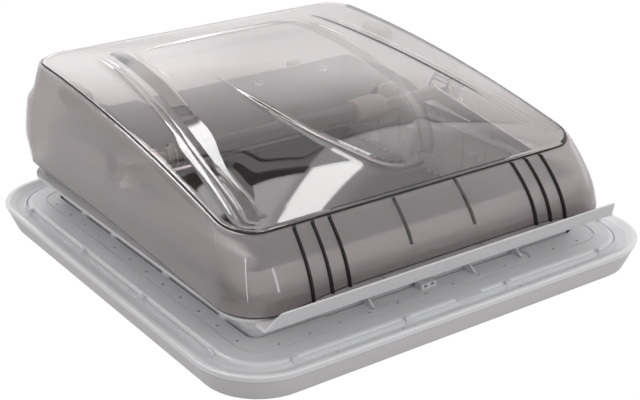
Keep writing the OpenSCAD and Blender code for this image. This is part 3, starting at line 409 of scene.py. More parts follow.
def clear(name, colour, film, wave=0.0, rough=0.003, drift=0.006, haze=0.0):
    f = Finish(name)
    slow = f.noise(8, 0)
    body = {
        "Base Color": (*colour, 1),
        "Roughness": slow * drift + rough,
        "IOR": 1.49,
        "Transmission Weight": 1.0,
    }
    if wave:
        body["Normal"] = f.bump(slow, 0.6, wave)
    acrylic = f.node("ShaderNodeBsdfPrincipled", None, body)
    if haze:
        veil = f.node("ShaderNodeBsdfDiffuse", None, {"Color": (*colour, 1)})
        acrylic = f.node("ShaderNodeMixShader", None, {0: haze, 1: acrylic, 2: veil})
    passing = f.node("ShaderNodeBsdfTransparent", None, {"Color": (*film, 1)})
    shadow = f.node("ShaderNodeLightPath", out="Is Shadow Ray")
    return f.surface(f.node("ShaderNodeMixShader", None, {0: shadow, 1: acrylic, 2: passing}))


smoked = clear("smoked_acrylic", (0.62, 0.58, 0.585), SMOKED_FILM, wave=0.00012)
smoked_matt = clear("smoked_acrylic_matt", (0.6, 0.56, 0.565), SMOKED_FILM, rough=0.41, drift=0.02, haze=0.22)
# Painted shade: near black acrylic on the pair of ribs that fades, and a darker smoke on the tongue's slow
# flank.
smoked_painted_dark_rib = clear("smoked_acrylic_painted_shade_rib", (0.006, 0.004, 0.004), (0.3, 0.28, 0.28), rough=0.03)
smoked_painted_dark_flank = clear("smoked_acrylic_painted_shade_flank", (0.4, 0.365, 0.37), (0.6, 0.57, 0.575))
glassy = clear("clear_acrylic", (0.93, 0.92, 0.91), (0.95, 0.95, 0.95), rough=0.01)
# Painted shade: an opaque, nearly black finish on the cut edge, the step of the crease and the ribs.
deep = Finish("smoked_acrylic_painted_shade_edge")
cloudy = deep.noise(60, 2)
smoked_painted_dark_edge = deep.surface(deep.node("ShaderNodeBsdfPrincipled", None, {
    "Base Color": deep.tint(cloudy, (0.010, 0.009, 0.009), (0.022, 0.019, 0.019)),
    "Roughness": cloudy * 0.1 + 0.25,
    "Specular IOR Level": 0.12}))
print("clear plastics:", smoked.name, glassy.name, "and", smoked_painted_dark_edge.name)

# %% [markdown]
# ## Woven cloths
# The blind is a dense cloth and the insect screen an open mesh. Modelled threads would be far too many,
# so two crossed waves give the weave, and the screen is open wherever no thread passes.

# %% Finishes of blind and screen
def cloth(name, colour, weave, open_share=0.0):
    f = Finish(name)
    threads = [f.node("ShaderNodeTexWave", {"bands_direction": d}, {"Vector": f.place(), "Scale": weave})
               for d in ("X", "Y")]
    cross = threads[0].math("MAXIMUM", threads[1])
    wear = f.noise(30, 3)
    body = {
        "Base Color": f.tint(wear * 0.6 + cross * 0.4, tuple(c * 0.8 for c in colour), colour),
        "Roughness": wear * 0.1 + 0.75,
        "Sheen Weight": 0.15,
        "Normal": f.bump(cross, 0.3, 0.00008),
    }
    if open_share:
        body["Alpha"] = cross.math("GREATER_THAN", open_share)
    return f.surface(f.node("ShaderNodeBsdfPrincipled", None, body))


# The blind's very dark colour is painted shade: it stands for the dark space under the vent seen through the
# dome.
blind_cloth = cloth("blind_cloth", (0.10, 0.098, 0.097), 260)
screen_cloth = cloth("screen_cloth", (0.05, 0.05, 0.05), 330, 0.55)
print("cloths:", blind_cloth.name, screen_cloth.name)

# %% [markdown]
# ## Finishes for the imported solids
# A solid keeps its shape and gets a finish in its first material slot. Faces could be painted one by one,
# but each of these pieces is one moulding or one length of metal, so it has one finish.

# %% Dress the solids
dress = {
    white_frame: ["ceiling_bezel", "roof_frame", "wind_deflector", "blind_track_left", "blind_track_right",
                  "hinge_arm_left", "hinge_arm_right"],
    white_deck: ["deck_frame"],
    rubber: ["frame_seal"],
    steel: ["frame_screws", "rail_screws", "hinge_pins"],
    rail_metal: ["guide_rail_left", "guide_rail_right", "side_arm_left", "side_arm_right"],
    smoked: ["dome_shell", "dome_rim", "vent_plugs"],
    beige: ["arm_cover_left", "arm_cover_right", "knuckle_left", "knuckle_right"],
    glassy: ["bracket_left", "bracket_right"],
    grey: ["lift_bar", "pivot_pins", "blind_rail", "screen_rail", "blind_end_bar", "screen_end_bar"],
    slate: ["hub_caps"],
    dark: ["blind_rail_shoes", "screen_rail_shoes"],
    pale_button: ["rail_glides", "release_button_left", "release_button_right"],
    blind_cloth: ["blind_sheet"],
    screen_cloth: ["screen_sheet"],
}
for finish, names in dress.items():
    for name in names:
        nodes[name].data.materials.clear()
        nodes[name].data.materials.append(finish)
print("dressed solids:", sum(len(names) for names in dress.values()), "of", len(nodes))

# %% [markdown]
# ## The dome
# The real dome is one sheet of smoked acrylic, drawn hot over a mould. Its walls bulge, ribs stand on the
# front wall, and its top is a raised panel with a long bead along each side and a tongue that runs down
# to the front. It could be sculpted, or lofted from curves. Here a flat grid is rolled up instead, as the
# sheet was drawn: each row of the grid becomes one loop round the dome, from the lower edge over the
# crease to the middle of the top. The loops follow the edges of the beads and the tongue, so those edges
# come out crisp. The inside of the walls has a fine matt grain, which blurs what is behind them; the top
# is polished on both sides.

# %% Sizes of the dome, in millimetres
WALL = 3.0
BASE = dict(front=224, back=218, y0=-217, y1=250)
CREASE = dict(front=208, back=203, y0=-182, y1=235)
BASE_CORNER, CREASE_CORNER = 0.2, 0.16
CREASE_LOW, CREASE_RISE, CREASE_CURVE = 119.5, 55.5, 1.85
EDGE_SIDE, EDGE_CLIMB, EDGE_FRONT, EDGE_BACK = 59.5, 9.8, 67, 69.3
EDGE_CLIMB_LONG, EDGE_TURN = 300, (110, 200)
STEP, STEP_WIDE, CROWN, CROWN_BEYOND, TONGUE = 3.2, 5, 12.9, 3.5, 2.2
RIBS, PAIR = (112, 131, 151), 38
RIB_HALF, RIB_FLANK, RIB_HIGH = 1.0, 0.8, 2.4


def limited(v):
    return min(1, max(0, v))


def ease(v, start, end):
    """0 before start, 1 after end, smooth between."""
    share = limited((v - start) / (end - start))
    return share * share * (3 - 2 * share)


def along_crease(y):
    """0 at the front of the crease, 1 at its back."""
    return limited((y - CREASE["y0"]) / (CREASE["y1"] - CREASE["y0"]))


def crease_z(y):
    return CREASE_LOW + CREASE_RISE * (1 - (1 - along_crease(y)) ** CREASE_CURVE)


def base_z(x, y):
    """The lower edge: it climbs along the sides, and the middle of the front is above its corners."""
    side = EDGE_SIDE + EDGE_CLIMB * ease(y, BASE["y0"], BASE["y0"] + EDGE_CLIMB_LONG)
    middle = EDGE_FRONT if y < 0 else EDGE_BACK
    return middle + (side - middle) * ease(abs(x), *EDGE_TURN)


def top_z(x, y):
    """The top: the crease, the step above it and a crown, which ends at the sides of the panel."""
    middle = (CREASE["y0"] + CREASE["y1"]) / 2
    reach = (CREASE["y1"] - CREASE["y0"]) / 2 + CROWN_BEYOND
    half = CREASE["back"] - STEP_WIDE + (CREASE["front"] - CREASE["back"]) * (1 - along_crease(y))
    across = max(0, 1 - (x / half) ** 2)
    along = max(0, 1 - ((y - middle) / reach) ** 2)
    return crease_z(y) + STEP + CROWN * across * along


print("top of the dome in mm:", round(top_z(0, 60), 1))

# %% Loops round the dome
FRONT_REACH, FRONT_SPACING, RIB_CLEAR = 164, 6, 1.5
CORNER_POINTS, SIDE_POINTS, BACK_POINTS = 20, 46, 40


def front_places():
    """Where the loops have points along the front: close together at the ribs."""
    right = set(range(FRONT_SPACING, FRONT_REACH, FRONT_SPACING))
    for rib in (PAIR, *RIBS):
        right = {x for x in right if abs(x - rib) > RIB_HALF + RIB_FLANK + RIB_CLEAR}
        right |= {rib + s * (RIB_HALF + d) for s in (-1, 1) for d in (0, RIB_FLANK)} | {rib}
    right = sorted(right)
    return [-x for x in reversed(right)] + [0] + right


FRONT_X = front_places()


def square_loop(q):
    """A rounded square of half size 1 with corners of radius q, from the front left round by the right."""
    reach = BASE["front"] * (1 - BASE_CORNER)

    def arc(cx, cy, start):
        angles = [math.radians(start + 90 * k / CORNER_POINTS) for k in range(CORNER_POINTS + 1)]
        return [(cx + q * math.cos(a), cy + q * math.sin(a)) for a in angles]

    def even(n):
        return [(1 - q) * (2 * k / (n + 1) - 1) for k in range(1, n + 1)]

    front = [(x / reach * (1 - q), -1) for x in FRONT_X]
    right = [(1, v) for v in even(SIDE_POINTS)]
    back = [(-v, 1) for v in even(BACK_POINTS)]
    left = [(-1, -v) for v in even(SIDE_POINTS)]
    return (front + arc(1 - q, q - 1, -90) + right + arc(1 - q, 1 - q, 0)
            + back + arc(q - 1, 1 - q, 90) + left + arc(q - 1, q - 1, 180))


def plan_loop(q, front, back, y0, y1, power=1.0, bow=0.0):
    """The square stretched over a plan: power curves its sides, and bow pushes its front out."""
    loop = []
    for x, y in square_loop(q):
        share = (1 - y) / 2
        half = back + (front - back) * share ** power
        loop.append((x * half, y1 + (y0 - y1) * share - bow * (1 - x * x) * max(0, -y) ** 4))
    return loop


base_loop = plan_loop(BASE_CORNER, *BASE.values())
crease_loop = plan_loop(CREASE_CORNER, *CREASE.values())
around = len(base_loop)
print("points round the dome:", around)

# %% Walls with ribs
SIDE_BULGE, FRONT_BULGE, BACK_BULGE, CORNER_BULGE = 4, 3, 2.6, 5.4
BACK_CORNER = (0.8, 0.92)
BACK_BAND, BAND_STARTS, BAND_ENDS = 1.35, (0, 0.3), (0.79, 0.62)
PAIR_GROWS, RIB_LEAN = (0.16, 0.56), 0.3
NEAR = 0.01


def rib_out(i, t):
    """How far the front stands out at point i: three ribs at each end, and a pair that fades downwards."""
    if i >= len(FRONT_X):
        return 0
    x = abs(FRONT_X[i])
    out = RIB_HIGH if min(abs(x - r) for r in RIBS) < RIB_HALF + NEAR else 0
    if abs(x - PAIR) < RIB_HALF + NEAR:
        out = RIB_HIGH * ease(t, *PAIR_GROWS)
    return out


def swell(u, v, t):
    """How far the wall bulges at (u, v) of the unit square and share t of its height: most at half height,
    and at the back over a wide band that ends below the crease."""
    ends = FRONT_BULGE if v < 0 else BACK_BULGE + CORNER_BULGE * ease(abs(u), *BACK_CORNER)
    belly = 4 * t * (1 - t)
    if v > 0:
        band = BACK_BAND * ease(t, *BAND_STARTS) * ease(t, *BAND_ENDS)
        belly += (band - belly) * v ** 8
    return (SIDE_BULGE + ends * abs(v) ** 6) * belly


def wall_loop(t, inset, ribs):
    """The wall at share t of its height, inset by so much."""
    loop = []
    for i, ((bx, by), (cx, cy), (u, v)) in enumerate(zip(base_loop, crease_loop, square_loop(BASE_CORNER))):
        away = math.hypot(bx - cx, by - cy)
        out = swell(u, v, t) - away * t - inset + (rib_out(i, t) if ribs else 0)
        z = base_z(bx, by)
        loop.append((bx + (bx - cx) / away * out, by + (by - cy) / away * out, z + (crease_z(cy) - z) * t))
    return loop


def crease_ring(d, rise, ribs=0.0):
    """The ring that lies d inside the crease and rise above it, with a share of the ribs on it."""
    plan = plan_loop(CREASE_CORNER, CREASE["front"] - d, CREASE["back"] - d,
                     CREASE["y0"] + d, CREASE["y1"] - d)
    loop = []
    for i, (x, y) in enumerate(plan):
        out = ribs * rib_out(i, 1)
        loop.append((x, y - out, crease_z(y) + rise + RIB_LEAN * out))
    return loop


levels = [0, 0.015, 0.04, 0.08, 0.12, 0.16] + [k / 20 for k in range(4, 18)] + [0.89, 0.92, 0.95, 0.98]
walls = [wall_loop(t, 0, True) for t in levels]
ribbed_step = [(0, 0, 0.95), (0.5, 0.45, 0.9), (1.2, 0.7, 0.8), (2.2, 0.8, 0.5)]
plain_step = [(2.5, 1.0), (2.8, 1.7), (3.1, 2.4), (3.5, 2.85), (4.1, 3.1), (STEP_WIDE, STEP)]
edge = [crease_ring(*place) for place in ribbed_step + plain_step]
print("wall loops:", len(walls), "edge loops:", len(edge))

# %% Outlines on the top panel
BEAD_CORNER, TONGUE_CORNER = 0.08, 0.3
TONGUE_RIGHT = 1.18
PANEL_CENTRE = (0, 15)


def panel_loop(q, in_front, in_back, from_front, from_back, power=1.5, bow=0.0):
    """An outline on the panel, by its distances from the crease at both ends of the sides, front and back."""
    return plan_loop(q, CREASE["front"] - in_front, CREASE["back"] - in_back,
                     CREASE["y0"] + from_front, CREASE["y1"] - from_back, power, bow)


def tongue_loop(from_front, from_back, on_left, on_right):
    """The tongue's outline, let out by so much on its steep left and its slow right."""
    plan = panel_loop(TONGUE_CORNER, 174, 129, from_front, from_back, power=4, bow=29)
    loop = []
    for (x, y), (u, _) in zip(plan, square_loop(TONGUE_CORNER)):
        loop.append((x + on_left * u if u < 0 else TONGUE_RIGHT * x + on_right * u, y))
    return loop


panel_edge = [(x, y) for x, y, _ in edge[-1]]
bead_foot = panel_loop(BEAD_CORNER, in_front=11, in_back=55, from_front=9, from_back=37)
panel_middle = panel_loop(0.15, in_front=96, in_back=88, from_front=39, from_back=63, bow=16)
tongue_foot = tongue_loop(54, 49, on_left=3, on_right=20)
tongue_edge = tongue_loop(60, 55, on_left=0, on_right=0)
tongue_heart = panel_loop(0.4, in_front=196, in_back=167, from_front=122, from_back=145, power=2, bow=14)
centre = [PANEL_CENTRE] * around
tongue_x, tongue_y = zip(*tongue_edge)
print("tongue in mm:", round(max(tongue_x) - min(tongue_x)), "x", round(max(tongue_y) - min(tongue_y)))

# %% Beads and tongue
RIGHT_BEAD = 0.2
BEAD_SPREAD, BEAD_WIDENS = 0.45, (-60, -160)
SLOPE_SHORT, SLOPE_GAIN, SLOPE_OPENS, DIP_SHARE = 2.5, 13.5, (-112, -22), 0.145
BEAD_STARTS, BEAD_ENDS = (-180, -140), (200, 140)
BEAD_SIDE_FROM, BEAD_TURN_FROM, BEAD_TURN_STEP = 0.93, 0.92, 0.6
TONGUE_ENDS, TONGUE_FALLS, TONGUE_REST = (165, 85), (50, -40), 0.06


def bead_section(y):
    """The bead cut across: places inwards from its foot, and heights. Two ridges, then a dip and a long slope
    up to the panel."""
    wide = 1 + BEAD_SPREAD * ease(y, *BEAD_WIDENS)
    slope = SLOPE_SHORT + SLOPE_GAIN * ease(y, *SLOPE_OPENS)
    ends = ease(y, *BEAD_STARTS) * ease(y, *BEAD_ENDS)
    dip = DIP_SHARE * slope
    ridges = [(0, 0), (0.7, 0.17), (1.4, 0.36), (2.1, 0.52), (2.7, 0.57), (3.1, 0.3), (3.5, 0),
              (7, 0), (7.6, 0.14), (8.2, 0.3), (8.8, 0.42), (9.2, 0.3), (9.6, 0),
              (13, 0), (16, 0), (16.6, -0.5 * dip), (17.4, -dip)]
    rise = [(u, dip * (u - 1)) for u in (0.06, 0.35, 0.65, 0.94)] + [(1, 0.02)]
    foot = ridges[-1][0] * wide
    return ([(u * wide, h * ends) for u, h in ridges] + [(foot + slope * u, h * ends) for u, h in rise]
            + [(foot + slope + d, h * ends) for d, h in ((1, 0.05), (3, 0.04), (7, 0))])


STATIONS = len(bead_section(0))
bead_side = [limited((abs(x) - BEAD_SIDE_FROM) / (1 - BEAD_SIDE_FROM)) for x, _ in square_loop(BEAD_CORNER)]


def bead_loop(k):
    """The k-th line along the beads; along the front and the back it only steps inwards a little."""
    loop = []
    for (x, y), (u, v) in zip(bead_foot, square_loop(BEAD_CORNER)):
        step = BEAD_TURN_STEP * k * max(0, abs(v) - BEAD_TURN_FROM) / (1 - BEAD_TURN_FROM)
        loop.append((x - bead_section(y)[k][0] * u, y - math.copysign(step, v)))
    return loop


def bead_lift(k, share):
    return lambda x, y, i: share * bead_section(y)[k][1] * bead_side[i] * (1 if x < 0 else RIGHT_BEAD)


def on_tongue(x, y, i):
    """The tongue stands highest at the front and dies away to the back."""
    return TONGUE * ease(y, *TONGUE_ENDS) * (TONGUE_REST + (1 - TONGUE_REST) * ease(y, *TONGUE_FALLS))


def flat(x, y, i):
    return 0


print("lines along a bead:", STATIONS)

# %% Loops over the top
TO_BEADS, TO_MIDDLE, TO_TONGUE, FLANK, TO_HEART, TO_CENTRE = 5, 9, 8, 6, 8, 5


def between(a, b, n):
    """n loops spread evenly from a to b, without b."""
    loops = []
    for k in range(n):
        loops.append([(ax + (bx - ax) * k / n, ay + (by - ay) * k / n) for (ax, ay), (bx, by) in zip(a, b)])
    return loops


def level(loops, lift):
    return [(loop, lift) for loop in loops]


def flank(a, b, lift, n):
    """A rounded flank: it rises as a smooth step over n loops."""
    shares = [ease(k, 0, n) for k in range(n)]
    return [(loop, lambda x, y, i, r=r: r * lift(x, y, i)) for r, loop in zip(shares, between(a, b, n))]


def top_loops(start, share=1):
    """Pairs of a loop in plan and its lift, from the panel's edge to its middle."""
    beads = [(bead_loop(k), bead_lift(k, share)) for k in range(STATIONS)]
    last_bead = beads[-1][0]
    return (level(between(start, bead_foot, TO_BEADS)[1:], flat) + beads
            + level(between(last_bead, panel_middle, TO_MIDDLE)[1:], flat)
            + level(between(panel_middle, tongue_foot, TO_TONGUE), flat)
            + flank(tongue_foot, tongue_edge, on_tongue, FLANK)
            + level(between(tongue_edge, tongue_heart, TO_HEART), on_tongue)
            + level(between(tongue_heart, centre, TO_CENTRE) + [centre], on_tongue))


def lifted(loops, drop=0):
    """The loops at their heights, lowered by drop."""
    return [[(x, y, top_z(x, y) + lift(x, y, i) - drop) for i, (x, y) in enumerate(loop)]
            for loop, lift in loops]


panel = lifted(top_loops(panel_edge))
print("panel loops:", len(panel))

# %% Helpers that roll, close and join pieces
def roll(name, loops, finishes, pick):
    """Rolls a grid up into the loops; pick(row, column) says which finish a face gets."""
    bpy.ops.object.select_all(action="DESELECT")
    bpy.ops.mesh.primitive_grid_add(x_subdivisions=around, y_subdivisions=len(loops) - 1, size=2)
    sheet = bpy.context.object
    sheet.name = name
    rows = len(loops) - 1
    for finish in finishes:
        sheet.data.materials.append(finish)
    for face in sheet.data.polygons:
        row, column = int((face.center.y + 1) / 2 * rows), int((face.center.x + 1) / 2 * around)
        face.material_index = pick(row, column)
    for v in sheet.data.vertices:
        row, column = round((v.co.y + 1) / 2 * rows), round((v.co.x + 1) / 2 * around) % around
        v.co = Vector(loops[row][column]) / 1000
    return sheet


def close_seams(gap, smooth):
    """Merges the points of the active piece that meet, turns its faces outwards and smooths it."""
    bpy.ops.object.mode_set(mode="EDIT")
    bpy.ops.mesh.select_all(action="SELECT")
    bpy.ops.mesh.remove_doubles(threshold=gap)
    bpy.ops.mesh.normals_make_consistent(inside=False)
    bpy.ops.object.mode_set(mode="OBJECT")
    bpy.ops.object.shade_smooth_by_angle(angle=math.radians(smooth))


def join(pieces, name):
    """Joins the pieces into the first of them."""
    bpy.ops.object.select_all(action="DESELECT")
    for piece in pieces:
        piece.select_set(True)
    bpy.context.view_layer.objects.active = pieces[0]
    bpy.ops.object.join()
    pieces[0].name = name
    return pieces[0]


print("helpers ready: roll, close_seams, join")

# %% Inside of the dome, and where its outside is dark
RIGHT_CREASE, RIGHT_FLANK = (0.3, 0.52), (0.27, 0.62)
PAIR_FROM = levels.index(0.35)
INSIDE_TO = 0.96

inner_step = [(3.2, 1.2), (3.7, 2.4), (4.2, 3), (4.9, STEP)]
inside = [wall_loop(t, WALL, False) for t in levels if t < INSIDE_TO]
matt_rows = len(inside) + 2
inside += [[(x, y, z - WALL) for x, y, z in crease_ring(*place)] for place in inner_step]
inside += lifted(top_loops([(x, y) for x, y, _ in inside[-1]], 0), WALL)

rib_end = len(walls) + len(ribbed_step)
crease_rows = range(rib_end, rib_end + 3)
right_crease_rows = range(rib_end + 3, rib_end + 6)
flank_start = len(walls) + len(edge) + TO_BEADS + STATIONS + TO_MIDDLE + TO_TONGUE - 1
flank_rows = range(flank_start, flank_start + FLANK - 1)


def within(column, shares):
    return around * shares[0] < column < around * shares[1]


def on_rib(x, rib):
    """True on the two top faces of a rib and on its left flank."""
    return abs(x + 0.5 - math.copysign(rib, x)) < RIB_HALF + 0.5


def painted_dark_face(row, column):
    """Which finish a face gets. Where light runs along the sheet it looks dark, and painted shade stands for
    it:
    1 on its cut edge, the step of the crease and the ribs, 2 on the pair of ribs that fades, 3 on the slow
    flank of the tongue."""
    if row == 0 or row in crease_rows or (row in right_crease_rows and within(column, RIGHT_CREASE)):
        return 1
    if row in flank_rows and within(column, RIGHT_FLANK):
        return 3
    if column + 1 >= len(FRONT_X) or row > rib_end:
        return 0
    x = (FRONT_X[column] + FRONT_X[column + 1]) / 2
    if any(on_rib(x, rib) for rib in RIBS):
        return 1
    return 2 if on_rib(x, PAIR) and row > PAIR_FROM else 0


print("inside loops:", len(inside), "of which matt:", matt_rows)

# %% Roll two grids into the outside and the inside of the dome
outside = [inside[0]] + walls + edge + panel
# The dark finishes on the outside's edge, crease, ribs and tongue flank are painted shade.
outer = roll("smoked_dome", outside, [smoked, smoked_painted_dark_edge, smoked_painted_dark_rib, smoked_painted_dark_flank], painted_dark_face)
inner = roll("dome_inside", inside, [smoked, smoked_matt], lambda row, column: int(row < matt_rows))
join([outer, inner], "smoked_dome")
close_seams(0.00002, 32)
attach(outer, "dome")
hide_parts("dome_shell")
print("dome faces:", len(outer.data.polygons), "size in mm:", [round(1000 * s, 1) for s in outer.dimensions])

# %% [markdown]
# ## The tray
# The ceiling frame is one moulding with a flared skirt. On its upper side a narrow lip rolls over into a
# smooth hollow that ends at a thin ridge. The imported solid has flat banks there. A sweep along a square
# path could give the round ones; the same rolled grid does it too, with loops that follow one section.

# %% Section of the tray, as half widths and heights in millimetres
DECK_HALF, DECK_CORNER, CORNER_GROWTH = 232, 44, 0.863

skirt = [(246, 0.4), (248, 5), (250, 10), (252, 15), (254.3, 20.8), (254.5, 21.3), (254.1, 21.5),
         (254.1, 21.8)]
lip = [(254.8, 22), (255.4, 23.3), (256.5, 26), (256.9, 27.2), (256.8, 27.9), (256.3, 28.35), (255.5, 28.5),
       (253, 28.5), (252, 28.3), (251, 27.7), (249.4, 26.5)]
hollow = [(247.2, 25.1), (244.4, 23.9), (241.4, 22.9), (238.8, 22.3), (237.3, 22.1), (237, 22.4)]
ridge = [(236.9, 25.2), (236.6, 25.7), (236, 25.8), (235.5, 25.6), (235.3, 25.2), (235.2, 22), (234.8, 21.65),
         (233, 21.6)]
under = [(227, 21.6), (227, 19), (240, 19), (242.6, 19.6), (245.4, 21), (248, 22.8), (250.2, 24.6),
         (251.6, 25.5), (253, 25.6), (253.4, 25), (249, 14), (244.6, 3)]
room_face = [(190.2, 3, 14), (190, 2.6, 14), (190, 0.3, 14), (190.3, 0, 14), (245.6, 0)]
section = skirt + lip + hollow + ridge + under + room_face
print("points in the tray's section:", len(section))

# %% Roll the tray
def tray_loop(half, z, corner=None):
    """A rounded square; its corners open with its size, as the rim's and the deck's do."""
    corner = corner or DECK_CORNER + (half - DECK_HALF) * CORNER_GROWTH
    return [(x * half, y * half, z) for x, y in square_loop(corner / half)]


def ring(name, section, finishes, pick):
    """A closed section carried round the square, fixed to the frame."""
    loops = [tray_loop(*place) for place in section]
    piece = roll(name, loops + loops[:1], finishes, pick)
    close_seams(0.00001, 40)
    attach(piece, "frame")
    return piece


def tray_face(row, column):
    """1 on the grained skirt, in a darker pinkish grey that is painted shade, 2 on the lip, smoother and in a
    brighter white that is a painted highlight, 0 on the rest.
    """
    return 1 if row < len(skirt) else 2 * int(row < len(skirt) + len(lip))


tray = ring("ceiling_tray", section, [white_tray, skirt_painted_shade, lip_painted_highlight], tray_face)
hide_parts("ceiling_bezel")
print("tray faces:", len(tray.data.polygons))

# %% [markdown]
# ## Drain holes
# Four small holes in the front of the hollow let water out. The loops could be led round them, but a hole
# that is cut afterwards, as a drill would, leaves the loops even: a thin cylinder is taken away from the
# tray.

# %% Drill the tray
DRAIN_X, DRAIN_Y, DRAIN_Z = (-0.144, -0.071, 0.071, 0.144), -0.2425, 0.0215
DRILL_RADIUS, DRILL_LENGTH = 0.0016, 0.012

for x in DRAIN_X:
    bpy.ops.object.select_all(action="DESELECT")
    bpy.ops.mesh.primitive_cylinder_add(vertices=24, radius=DRILL_RADIUS, depth=DRILL_LENGTH,
                                        location=(x, DRAIN_Y, DRAIN_Z))
    drill = bpy.context.object
    bpy.context.view_layer.objects.active = tray
    bpy.ops.object.modifier_add(type="BOOLEAN")
    tray.modifiers[-1].object = drill
    bpy.ops.object.modifier_apply(modifier=tray.modifiers[-1].name)
    bpy.data.objects.remove(drill)
print("tray faces with its holes:", len(tray.data.polygons))

# %% [markdown]
# ## The deck's round edge
# Behind the ridge the deck's edge rises in a wide round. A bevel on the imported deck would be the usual
# way, but its mesh is loose triangles that are left alone, so a narrow ring with the round lies over its
# edge.

# %% Round of the deck's edge
brow_section = [(235, 22), (234.9, 24), (234.6, 24.9), (233.9, 25.8), (232.9, 26.6), (231.6, 27.1),
                (230.2, 27.36), (229.2, 27.42), (229.1, 27.2), (230.6, 25.4), (231.6, 24.2), (232, 22)]


def one_finish(row, column):
    return 0


brow = ring("deck_brow", brow_section, [white_tray], one_finish)
print("deck brow faces:", len(brow.data.polygons))

# %% [markdown]
# ## The liner
# Below the neck a gap is open above the deck, and a recessed wall closes it: a liner that snaps into the
# neck with a small flange and stands behind the posts. It is a strip bent into a square, and could be
# extruded; the rolled ring gives it its round corners as well.

# %% Liner behind the gap
LINER_SHIFT = 0.008

liner_section = [(193.8, 24.6, 8.8), (193.8, 30, 8.8), (193.8, 35.8, 8.8), (194.2, 36.1, 9.2),
                 (195, 36.2, 10), (195, 37.3, 10), (194.6, 37.6, 9.6), (192.9, 37.6, 7.9), (192.6, 37.3, 7.6),
                 (192.6, 30, 7.6), (192.6, 24.6, 7.6)]
liner = ring("neck_liner", liner_section, [white_deck], one_finish)
liner.data.transform(Matrix.Translation((0, LINER_SHIFT, 0)))
print("liner in mm:", [round(1000 * s, 1) for s in liner.dimensions])

# %% [markdown]
# ## The snap tabs
# Short pegs stand on the ridge, four to a side; the cover strip of the ceiling snaps over them. They
# could be pulled up out of the ridge, but a separate block is easier to round: one is modelled and copied
# round the square.

# %% Helpers for blocks and copies
def rounded_block(place, size, bevel, segments):
    """A block with bevelled edges, its place in its mesh."""
    bpy.ops.object.select_all(action="DESELECT")
    bpy.ops.mesh.primitive_cube_add(size=1, location=place)
    block = bpy.context.object
    bpy.ops.object.mode_set(mode="EDIT")
    bpy.ops.mesh.select_all(action="SELECT")
    bpy.ops.transform.resize(value=size)
    bpy.ops.mesh.bevel(offset=bevel, segments=segments, affect="EDGES")
    bpy.ops.object.mode_set(mode="OBJECT")
    bpy.ops.object.transform_apply(location=True, rotation=True, scale=True)
    return block


def copy_of(piece, move):
    """A copy with its own mesh, moved."""
    copy = piece.copy()
    copy.data = piece.data.copy()
    bpy.context.collection.objects.link(copy)
    copy.data.transform(move)
    return copy


print("helpers ready: rounded_block, copy_of")

# %% Snap tabs on the ridge
TAB_PLACE, TAB_SIZE, TAB_ROUND = (0.2362, 0, 0.0254), (0.0046, 0.0058, 0.0075), 0.0007
TAB_ALONG = (-0.184, -0.061, 0.061, 0.184)

tab = rounded_block(TAB_PLACE, TAB_SIZE, TAB_ROUND, 2)
tab.data.materials.append(white_tray)
copies = []
for quarter in range(4):
    turned = Matrix.Rotation(quarter * math.pi / 2, 4, "Z")
    copies += [copy_of(tab, turned @ Matrix.Translation((0, along, 0))) for along in TAB_ALONG]
bpy.data.objects.remove(tab)
tabs = join(copies, "ridge_tabs")
bpy.ops.object.shade_smooth_by_angle(angle=math.radians(40))
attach(tabs, "frame")
print("tabs:", len(copies))

# %% [markdown]
# ## The clear clip on the bar
# Near its left end the bar lies in a clear clip with four round fins, which keeps the bow from rattling.
# The fins could be spun from a section. Here one starts as a flat cylinder across the bar, its two faces
# are inset and pushed in, so that it has a rim, and it is copied along the bar. A block with rounded
# edges is the foot.

# %% Fins and foot of the clip
FIN_X = (-0.151, -0.145, -0.139, -0.133)
FIN_RADIUS, FIN_THICK, FIN_RIM, FIN_DISH = 0.0125, 0.0026, 0.0016, 0.0005
FOOT_SIZE, FOOT_DROP, FOOT_ROUND = (0.0236, 0.014, 0.004), 0.0118, 0.0012

low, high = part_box("lift_bar")
axis_y, axis_z = (low[1] + high[1]) / 2, (low[2] + high[2]) / 2
print("bar in mm:", [round(1000 * v, 1) for v in (*low, *high)])
bpy.ops.object.select_all(action="DESELECT")
bpy.ops.mesh.primitive_cylinder_add(vertices=40, radius=FIN_RADIUS, depth=FIN_THICK,
                                    location=(FIN_X[0], axis_y, axis_z), rotation=(0, math.pi / 2, 0))
fin = bpy.context.object
bpy.ops.object.transform_apply(location=True, rotation=True, scale=True)
bpy.ops.object.mode_set(mode="EDIT")
bpy.ops.mesh.select_mode(type="FACE")
bpy.ops.mesh.select_all(action="DESELECT")
bpy.ops.object.mode_set(mode="OBJECT")
for face in fin.data.polygons:
    face.select = abs(face.normal.x) > 0.9
bpy.ops.object.mode_set(mode="EDIT")
bpy.ops.mesh.inset(thickness=FIN_RIM, depth=-FIN_DISH)
bpy.ops.object.mode_set(mode="OBJECT")
fins = [fin] + [copy_of(fin, Matrix.Translation((x - FIN_X[0], 0, 0))) for x in FIN_X[1:]]
foot_place = (sum(FIN_X) / len(FIN_X), axis_y, axis_z - FOOT_DROP)
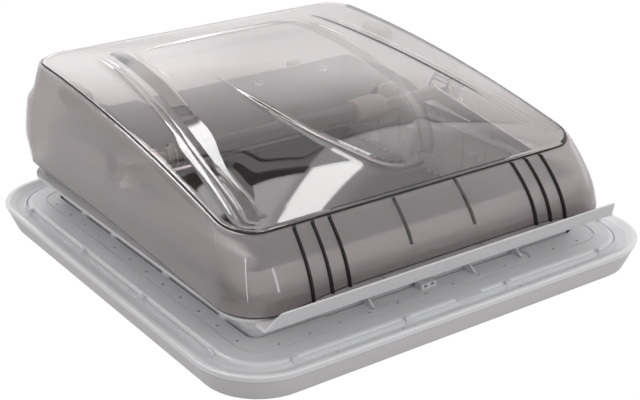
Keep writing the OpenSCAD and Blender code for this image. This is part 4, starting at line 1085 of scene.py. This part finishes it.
foot = join([rounded_block(foot_place, FOOT_SIZE, FOOT_ROUND, 3)] + fins, "bar_clip")
foot.data.materials.clear()
foot.data.materials.append(glassy)
bpy.ops.object.shade_smooth_by_angle(angle=math.radians(35))
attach(foot, "lift_bow")
print("clip faces:", len(foot.data.polygons))

# %% [markdown]
# ## The pleated cloths
# Blind and insect screen are pleated cloths between a fixed bar and a pull rail. A cloth simulation could
# fold them, but a pleat is pressed in and always falls the same way. So a grid is folded into a zigzag,
# with a small round at each fold, and gets the thickness of the cloth.

# %% Fold a cloth
CLOTH_HALF, CLOTH_THICK = 0.193, 0.0004
PLEAT_HIGH, PLEAT_PITCH, STEPS_IN_FOLD = 0.0046, 0.012, 4
FOLD_ROUND, SLOPE_SHARE, NEAR_FOLD = 0.06, 0.9, 0.01


def pleated(name, y0, y1, z, finish):
    folds = 2 * round((y1 - y0) / PLEAT_PITCH)
    bpy.ops.object.select_all(action="DESELECT")
    bpy.ops.mesh.primitive_grid_add(x_subdivisions=6, y_subdivisions=folds * STEPS_IN_FOLD, size=2)
    sheet = bpy.context.object
    sheet.name = name
    for v in sheet.data.vertices:
        row = (v.co.y + 1) / 2 * folds
        away = abs((row + 1) % 2 - 1)
        if away < NEAR_FOLD:
            away = FOLD_ROUND
        elif away > 1 - NEAR_FOLD:
            away = 1 - FOLD_ROUND
        v.co = (v.co.x * CLOTH_HALF, y0 + (y1 - y0) * row / folds, z + PLEAT_HIGH * away)
    bpy.ops.object.modifier_add(type="SOLIDIFY")
    sheet.modifiers[-1].thickness = CLOTH_THICK
    bpy.ops.object.modifier_apply(modifier=sheet.modifiers[-1].name)
    bpy.ops.object.shade_smooth_by_angle(angle=math.radians(25))
    sheet.data.materials.append(finish)
    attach(sheet, "frame")
    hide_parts(name.replace("_cloth", "_sheet"))
    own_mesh(sheet)


pleated("blind_cloth", -0.161, 0.206, 0.0148, blind_cloth)
pleated("screen_cloth", -0.206, 0.161, 0.006, screen_cloth)
